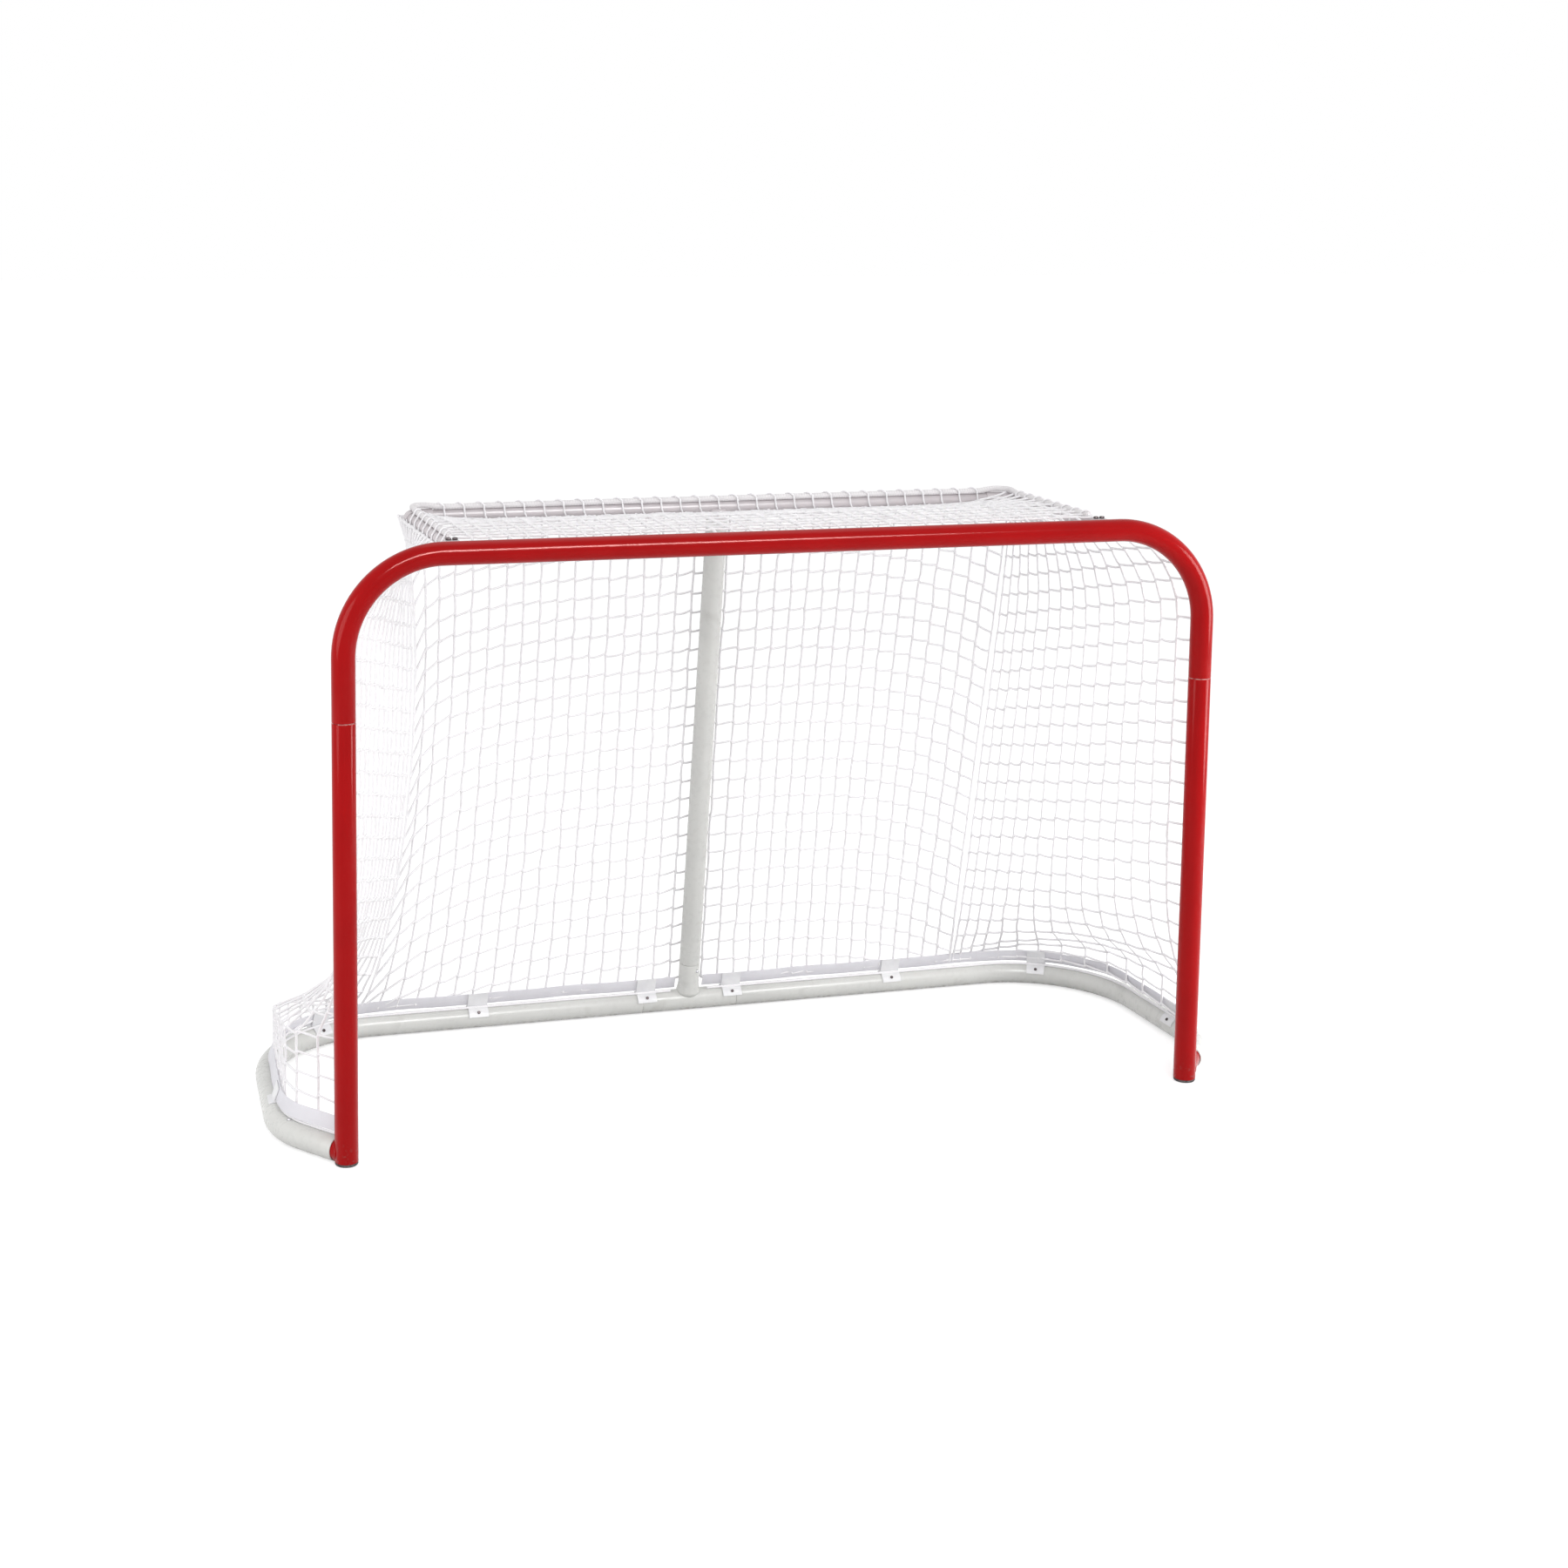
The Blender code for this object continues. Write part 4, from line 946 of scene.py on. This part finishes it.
RIGHT_FOLD = {
    "low": 0.980, "inward": 0.030, "ahead": 0.060, "pitch": NET_PITCH, "gather": 1.25,
    "gentle_dip": 1.00, "steep_dip": 0.00,
}


def wall_low(distance):
    """The low edge of the walls, behind the band, at a distance along the base at the right."""
    path, tangent = base_line(distance)
    inward = np.cross(UP, tangent)
    return path * (1, 1, 0) + NET_LOW[0] * inward + NET_LOW[1] * UP


def post_edge(down):
    """The front edge, down behind the right bend and post: across, a quarter turn, straight down."""
    top = (ARM_X + NET_OUTSIDE, POST_Y + NET_FRONT, BAR_Z - NET_UNDER_BAR)
    across = POST_X - BEND_R - top[0]
    lengths = np.cumsum([0, across, BEND_R * math.pi / 2, BAR_Z - BEND_R - NET_LOW[1]])
    edge = bent(top, RIGHT, -UP, lengths, [0, 0, math.pi / 2, math.pi / 2])
    return edge(down * lengths[-1])[0]


net_corner = np.array([ARM_X + NET_OUTSIDE, RAIL_Y + NET_OUTSIDE, NET_TOP_Z])
net_height = NET_TOP_Z - NET_LOW[1]


def row_share(above, pitch):
    """How far down each row hangs, as a share of the height: (row - rows above) x pitch / height.

    Rows that fall beyond the top or the low edge lie close together there, as a selvage.
    """
    share = (np.arange(NET_ROWS + 1)[:, None] - above) * pitch / net_height
    return np.interp(share, [-1, 0, 1, 2], [-NET_SELVAGE, 0, 1, 1 + NET_SELVAGE])


def bow(down):
    """The depth of a fold's bow at a share of the height: (4 x down x (1 - down)) to a power."""
    return np.clip(4 * down * (1 - down), 0, 1) ** BOW_FLAT


def side_wall(fold):
    """Knots of a side panel, drawn at the right, with straight rows from the post edge to the fold.

    The fold is the line from the net's corner to its place on the base, less its bow. Near the base
    the rows lean out to follow it.
    """
    share = np.linspace(1, 0, SIDE_COLUMNS + 1)[:, None] ** fold["gather"]
    down = row_share(0.0, fold["pitch"])
    foot = wall_low(np.array([fold["low"]]))[0]
    bowed = bow(down) * np.array([fold["inward"], fold["ahead"], 0.0])
    back = (net_corner + (foot - net_corner) * down - bowed)[:, None]
    front = post_edge(np.linspace(0, 1, NET_ROWS + 1))[:, None]
    base = wall_low(fold["low"] - (fold["low"] - NET_FIRST) * share[:, 0] ** BASE_GATHER)
    aside = base - (base[-1] + (base[0] - base[-1]) * share)
    return back + (front - back) * share + aside * np.clip(down, 0, 1)[..., None] ** BASE_LEAN


def back_wall():
    """Knots of the back panel, from the left fold to the right, pushed back round the centre post.

    Rows stand highest in the middle, and fall towards each fold by a gentle and a steep power of
    |across|, each times the fold's dip. Columns narrow towards a fold with its bow.
    """
    across = np.linspace(-1, 1, BACK_COLUMNS + 1)[None]
    at_left = across < 0

    def by_side(word):
        return np.where(at_left, LEFT_FOLD[word], RIGHT_FOLD[word])

    gentle, steep = (np.abs(across) ** power for power in DIP_POWERS)
    fallen = gentle * by_side("gentle_dip") + steep * by_side("steep_dip")
    pitch = NET_PITCH + (by_side("pitch") - NET_PITCH) * gentle
    down = row_share(NET_ROWS_ABOVE * (1 - fallen), pitch)
    top = np.tile(net_corner, (1, BACK_COLUMNS + 1, 1))
    top[..., 0] *= across
    low_at = BASE_HALF - np.abs(across) * (BASE_HALF - by_side("low"))
    low = wall_low(low_at) * np.where(at_left[..., None], MIRROR, 1.0)
    wall = top + (low - top) * down[..., None]
    from_fold = (1 - np.abs(across)) * net_corner[0]
    near = np.clip(1 - from_fold / BOW_REACH, 0, 1) ** 2
    narrow = np.clip(1 - from_fold / BOW_NARROW, 0, 1) ** 2 * np.sign(across)
    wall[..., 0] -= bow(down) * by_side("inward") * (across + narrow) / 2
    wall[..., 1] -= bow(down) * near * by_side("ahead")
    slope = (BACK_Y - RAIL_Y) / (RAIL_Z - BASE_R)
    behind = RAIL_Y + (RAIL_Z - wall[..., 2]) * slope + NET_BEHIND_POST
    pushed = np.clip(1 - np.abs(wall[..., 0]) / NET_PUSHED_HALF, 0, 1)
    wall[..., 1] += pushed * (behind - wall[..., 1])
    return wall


# The net's roof
ROOF_ROWS = 12
ROOF_Z = 1.2465
ROOF_FRONT_Z = 1.237
ROOF_FRONT_SHARE = 0.08
ROOF_FRONT_GAP = 0.030
ROOF_SIDE_GAP = 0.0040
ROOF_SAG = 0.029
ROOF_SAG_FROM = 0.52
ROOF_SAG_POWER = 12
ROOF_POST_GAP = 0.012
ROOF_POST_HALF = 0.060


def roof_sheet():
    """Knots of the roof, from the back of the crossbar over the level of the arms to the rail.

    Towards the rail it sags below the level by (share of the sagging stretch) x (1 - |across| to a
    power), so that it stays level with the hem rope along the arms.
    """
    across = np.linspace(-1, 1, BACK_COLUMNS + 1)[None]
    share = np.linspace(0, 1, ROOF_ROWS + 1)[:, None]
    x = (ARM_X - ROOF_SIDE_GAP) * across
    round_post = ROOF_POST_GAP * np.clip(1 - np.abs(x) / ROOF_POST_HALF, 0, 1)
    front, back = POST_Y + ROOF_FRONT_GAP, RAIL_Y - RAIL_R - CORD_R - round_post
    y = front + (back - front) * share
    level = np.interp(share, [0, ROOF_FRONT_SHARE], [ROOF_FRONT_Z, ROOF_Z])
    sagging = np.clip((share - ROOF_SAG_FROM) / (1 - ROOF_SAG_FROM), 0, 1)
    z = level - ROOF_SAG * sagging * (1 - np.abs(across) ** ROOF_SAG_POWER)
    return np.stack(np.broadcast_arrays(x, y, z), -1)


# Slack of the cords and form of the knots
CORD_SLACK = 0.0016
CORD_SLACK_SHARES = (0.4, 1.3)
CORD_STRAY = 0.0008
COLUMN_SHARES = (0.0, 1 / 3, 2 / 3)
ROW_SHARES = (0.05, 0.35, 0.65, 0.95)
KNOT_R = 0.0035
KNOT_R_SHARES = (0.85, 1.15)
KNOT_HALF = 0.0044
KNOT_SHAPE = ((0.34, -1.0), (1.0, -0.5), (1.0, 0.5), (0.34, 1.0))
KNOT_TILT = 0.18
KNOT_STEP = 0.0036
KNOT_JITTER = 0.0009


def net_panel(name, knots, nodes, seed):
    """A knotted panel: cords down the columns, cords along the rows, and a knot on every crossing.

    A cord between two knots is the straight line + 4 t (1 - t) x slack. A row's cord leaves each knot
    a little lower than it arrives, so that the cells stand in steps. A knot is a small spindle. Where
    rows lie close together, all of this is less, by the room between them over the pitch.
    """
    rng = np.random.default_rng(seed)
    down = unit(np.gradient(knots, axis=0))
    along = unit(np.gradient(knots, axis=1))
    normal = unit(np.cross(along, down))
    room = np.linalg.norm(np.gradient(knots, axis=0), axis=-1, keepdims=True)
    room = np.clip(room / NET_PITCH, 0, 1)
    stray = rng.normal(0, KNOT_JITTER, (*knots.shape[:2], 2)) * room
    stray[[0, -1]] = 0
    stray[:, [0, -1]] = 0
    knots = knots + stray[..., :1] * along + stray[..., 1:] * down

    def slack(shape, first, second):
        pull = rng.normal(0, CORD_STRAY, (*shape, 2))
        return pull[..., :1] * first + pull[..., 1:] * second

    share = np.array(COLUMN_SHARES)[None, :, None, None]
    start, end = knots[:-1, None], knots[1:, None]
    bulge = slack(knots[:-1].shape[:2], along[:-1], normal[:-1])[:, None]
    columns = start + (end - start) * share + 4 * share * (1 - share) * bulge
    columns = np.concatenate([columns.reshape(-1, knots.shape[1], 3), knots[-1:]]).transpose(1, 0, 2)
    column_up = np.concatenate([np.repeat(normal[:-1], len(COLUMN_SHARES), 0), normal[-1:]])
    column_up = column_up.transpose(1, 0, 2)

    share = np.array(ROW_SHARES)[None, None, :, None]
    step = KNOT_STEP * down * room
    start, end = (knots + step)[:, :-1, None], (knots - step)[:, 1:, None]
    bulge = slack(knots[:, :-1].shape[:2], down[:, :-1], normal[:, :-1])
    bulge = bulge - CORD_SLACK * rng.uniform(*CORD_SLACK_SHARES, (*bulge.shape[:2], 1)) * UP
    bulge = (bulge * room[:, :-1])[:, :, None]
    rows = start + (end - start) * share + 4 * share * (1 - share) * bulge
    rows = rows.reshape(len(knots), -1, 3)
    row_up = np.repeat(normal[:, :-1], len(ROW_SHARES), 1)

    radius, height = np.array(KNOT_SHAPE).T
    tilt = unit(down + rng.normal(0, KNOT_TILT, down.shape))
    spindles = knots[..., None, :] + KNOT_HALF * height[:, None] * tilt[..., None, :]
    spindles = spindles.reshape(-1, len(radius), 3)
    axes = np.repeat(tilt.reshape(-1, 1, 3), len(radius), 1)
    girth = KNOT_R * radius * rng.uniform(*KNOT_R_SHARES, (len(spindles), 1))
    parts = [
        wheels(columns, column_up, CORD_R, CORD_SIDES),
        wheels(rows, row_up, CORD_R, CORD_SIDES),
        wheels(spindles, normal.reshape(-1, 1, 3), girth, CORD_SIDES, axes),
    ]
    place_on(skin(name, parts, net_cord, sharp_deg=80.0), nodes)


right_wall = side_wall(RIGHT_FOLD)
left_wall = side_wall(LEFT_FOLD) * MIRROR
back_sheet = back_wall()
net_panel("cord_right_net_side", right_wall[:, :-1], ["right_net_side"], 11)
net_panel("cord_left_net_side", left_wall[:, :-1], ["left_net_side"], 12)
net_panel("cord_net_back", back_sheet, ["net_back"], 13)
net_panel("cord_net_roof", roof_sheet(), ["net_roof"], 14)


# Ropes and lacing. A grey rope hems the net on top of the rail and the arms, and a white cord winds
# round tube and rope, one turn for each mesh. Thinner ropes edge the folds, the mouth and the base.
HEM_R = 0.0065
HEM_UP = 0.0186
HEM_IN = ROOF_SIDE_GAP
HEM_LIFT = 0.0045
HEM_CLEAR = 0.003
HEM_PARTS = 220
LACE_R = 0.0019
LACE_PARTS = 24
ROPE_SIDES = 10
EDGE_R = 0.0027
LOW_ROPE_R = 0.0027
LOW_ROPE_AT = (0.0090, 0.0503)
LOW_ROPE_STEP = 0.012
ROPE_GREY = (0.70, 0.68, 0.69)
# ROPE_SHADE is likewise the painted shade in the rope's grooves, and the tone of its patches.
ROPE_SHADE = (0.62, 0.60, 0.61)
hem_rope = braided("hem_rope_braid", ROPE_GREY, ROPE_SHADE)


def laced(start, end, aside):
    """A cord wound round a tube and the rope on it, carried evenly along the line from start to end.

    At every angle the cord lies on whichever of the two circles reaches further that way.
    """
    start, length = np.asarray(start, float), np.linalg.norm(np.subtract(end, start))
    turns = round(length / NET_PITCH)
    share = np.linspace(0, 1, turns * LACE_PARTS + 1)[:, None]
    reach = np.cos(math.tau * turns * share) * aside + np.sin(math.tau * turns * share) * UP
    centres = np.stack([np.zeros(3), HEM_UP * UP - HEM_IN * aside])
    radii = np.array([RAIL_R, HEM_R]) + LACE_R
    furthest = (reach @ centres.T + radii).argmax(1)
    path = start + share * np.subtract(end, start) + centres[furthest] + radii[furthest, None] * reach
    return wheels(path, unit(np.subtract(end, start)), LACE_R, CORD_SIDES)


hem_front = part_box("right_arm_bracket")[1].y + HEM_CLEAR
hem_bend = (ELBOW_BEND - HEM_IN) * math.pi / 2
hem_arm = RAIL_Y - ELBOW_BEND - hem_front
hem_marks = np.cumsum([0, hem_arm, hem_bend, 2 * (ARM_X - ELBOW_BEND), hem_bend, hem_arm])
hem_start = (ARM_X - HEM_IN, hem_front, RAIL_Z + HEM_UP)
hem_line = bent(hem_start, BACK, -RIGHT, hem_marks, np.radians([0, 0, 90, 90, 180, 180]))
hem_stations = np.linspace(0, hem_marks[-1], HEM_PARTS)
hem_corners = hem_marks[[1, 3]] + hem_bend / 2
hem_from_corner = np.abs(hem_stations[:, None] - hem_corners).min(1)
hem_over_elbow = np.clip(2 - hem_from_corner / ELBOW_BEND, 0, 1)[:, None]
hem_path = hem_line(hem_stations)[0] + HEM_LIFT * hem_over_elbow * UP
place_on(skin("rope_net_hem", [wheels(hem_path, UP, HEM_R, ROPE_SIDES)], hem_rope), [])
rail_lace_end = elbow_line(elbow_marks[-1:])[0][0, 0] - HEM_CLEAR
rail_lace = laced((-rail_lace_end, RAIL_Y, RAIL_Z), (rail_lace_end, RAIL_Y, RAIL_Z), BACK)
place_on(skin("cord_rail_lacing", [rail_lace], net_cord), [])
arm_lace = laced((ARM_X, hem_front, RAIL_Z), (ARM_X, elbow_start[1] - HEM_CLEAR, RAIL_Z), RIGHT)
pair("cord_{}_arm_lacing", [arm_lace], net_cord, [])

edges = {
    "right_fold": back_sheet[:, -1], "left_fold": back_sheet[:, 0],
    "right_mouth": right_wall[:, 1], "left_mouth": left_wall[:, 1],
}
for edge_word, edge_path in edges.items():
    edge = skin(f"cord_{edge_word}_edge", [wheels(edge_path, RIGHT, EDGE_R, ROPE_SIDES)], net_cord)
    place_on(edge, [])
low_turn = math.tau * np.arange(ROPE_SIDES) / ROPE_SIDES
low_section = np.array(LOW_ROPE_AT) + LOW_ROPE_R * np.stack([np.cos(low_turn), np.sin(low_turn)], -1)
low_stations = np.arange(BAND_START, BASE_HALF - BAND_POST_GAP, LOW_ROPE_STEP)
low_sections = np.broadcast_to(low_section, (len(low_stations), ROPE_SIDES, 2))
low_rings = carried(base_line, low_stations, low_sections)
pair("rope_{}_low_edge", [low_rings], net_cord, [])
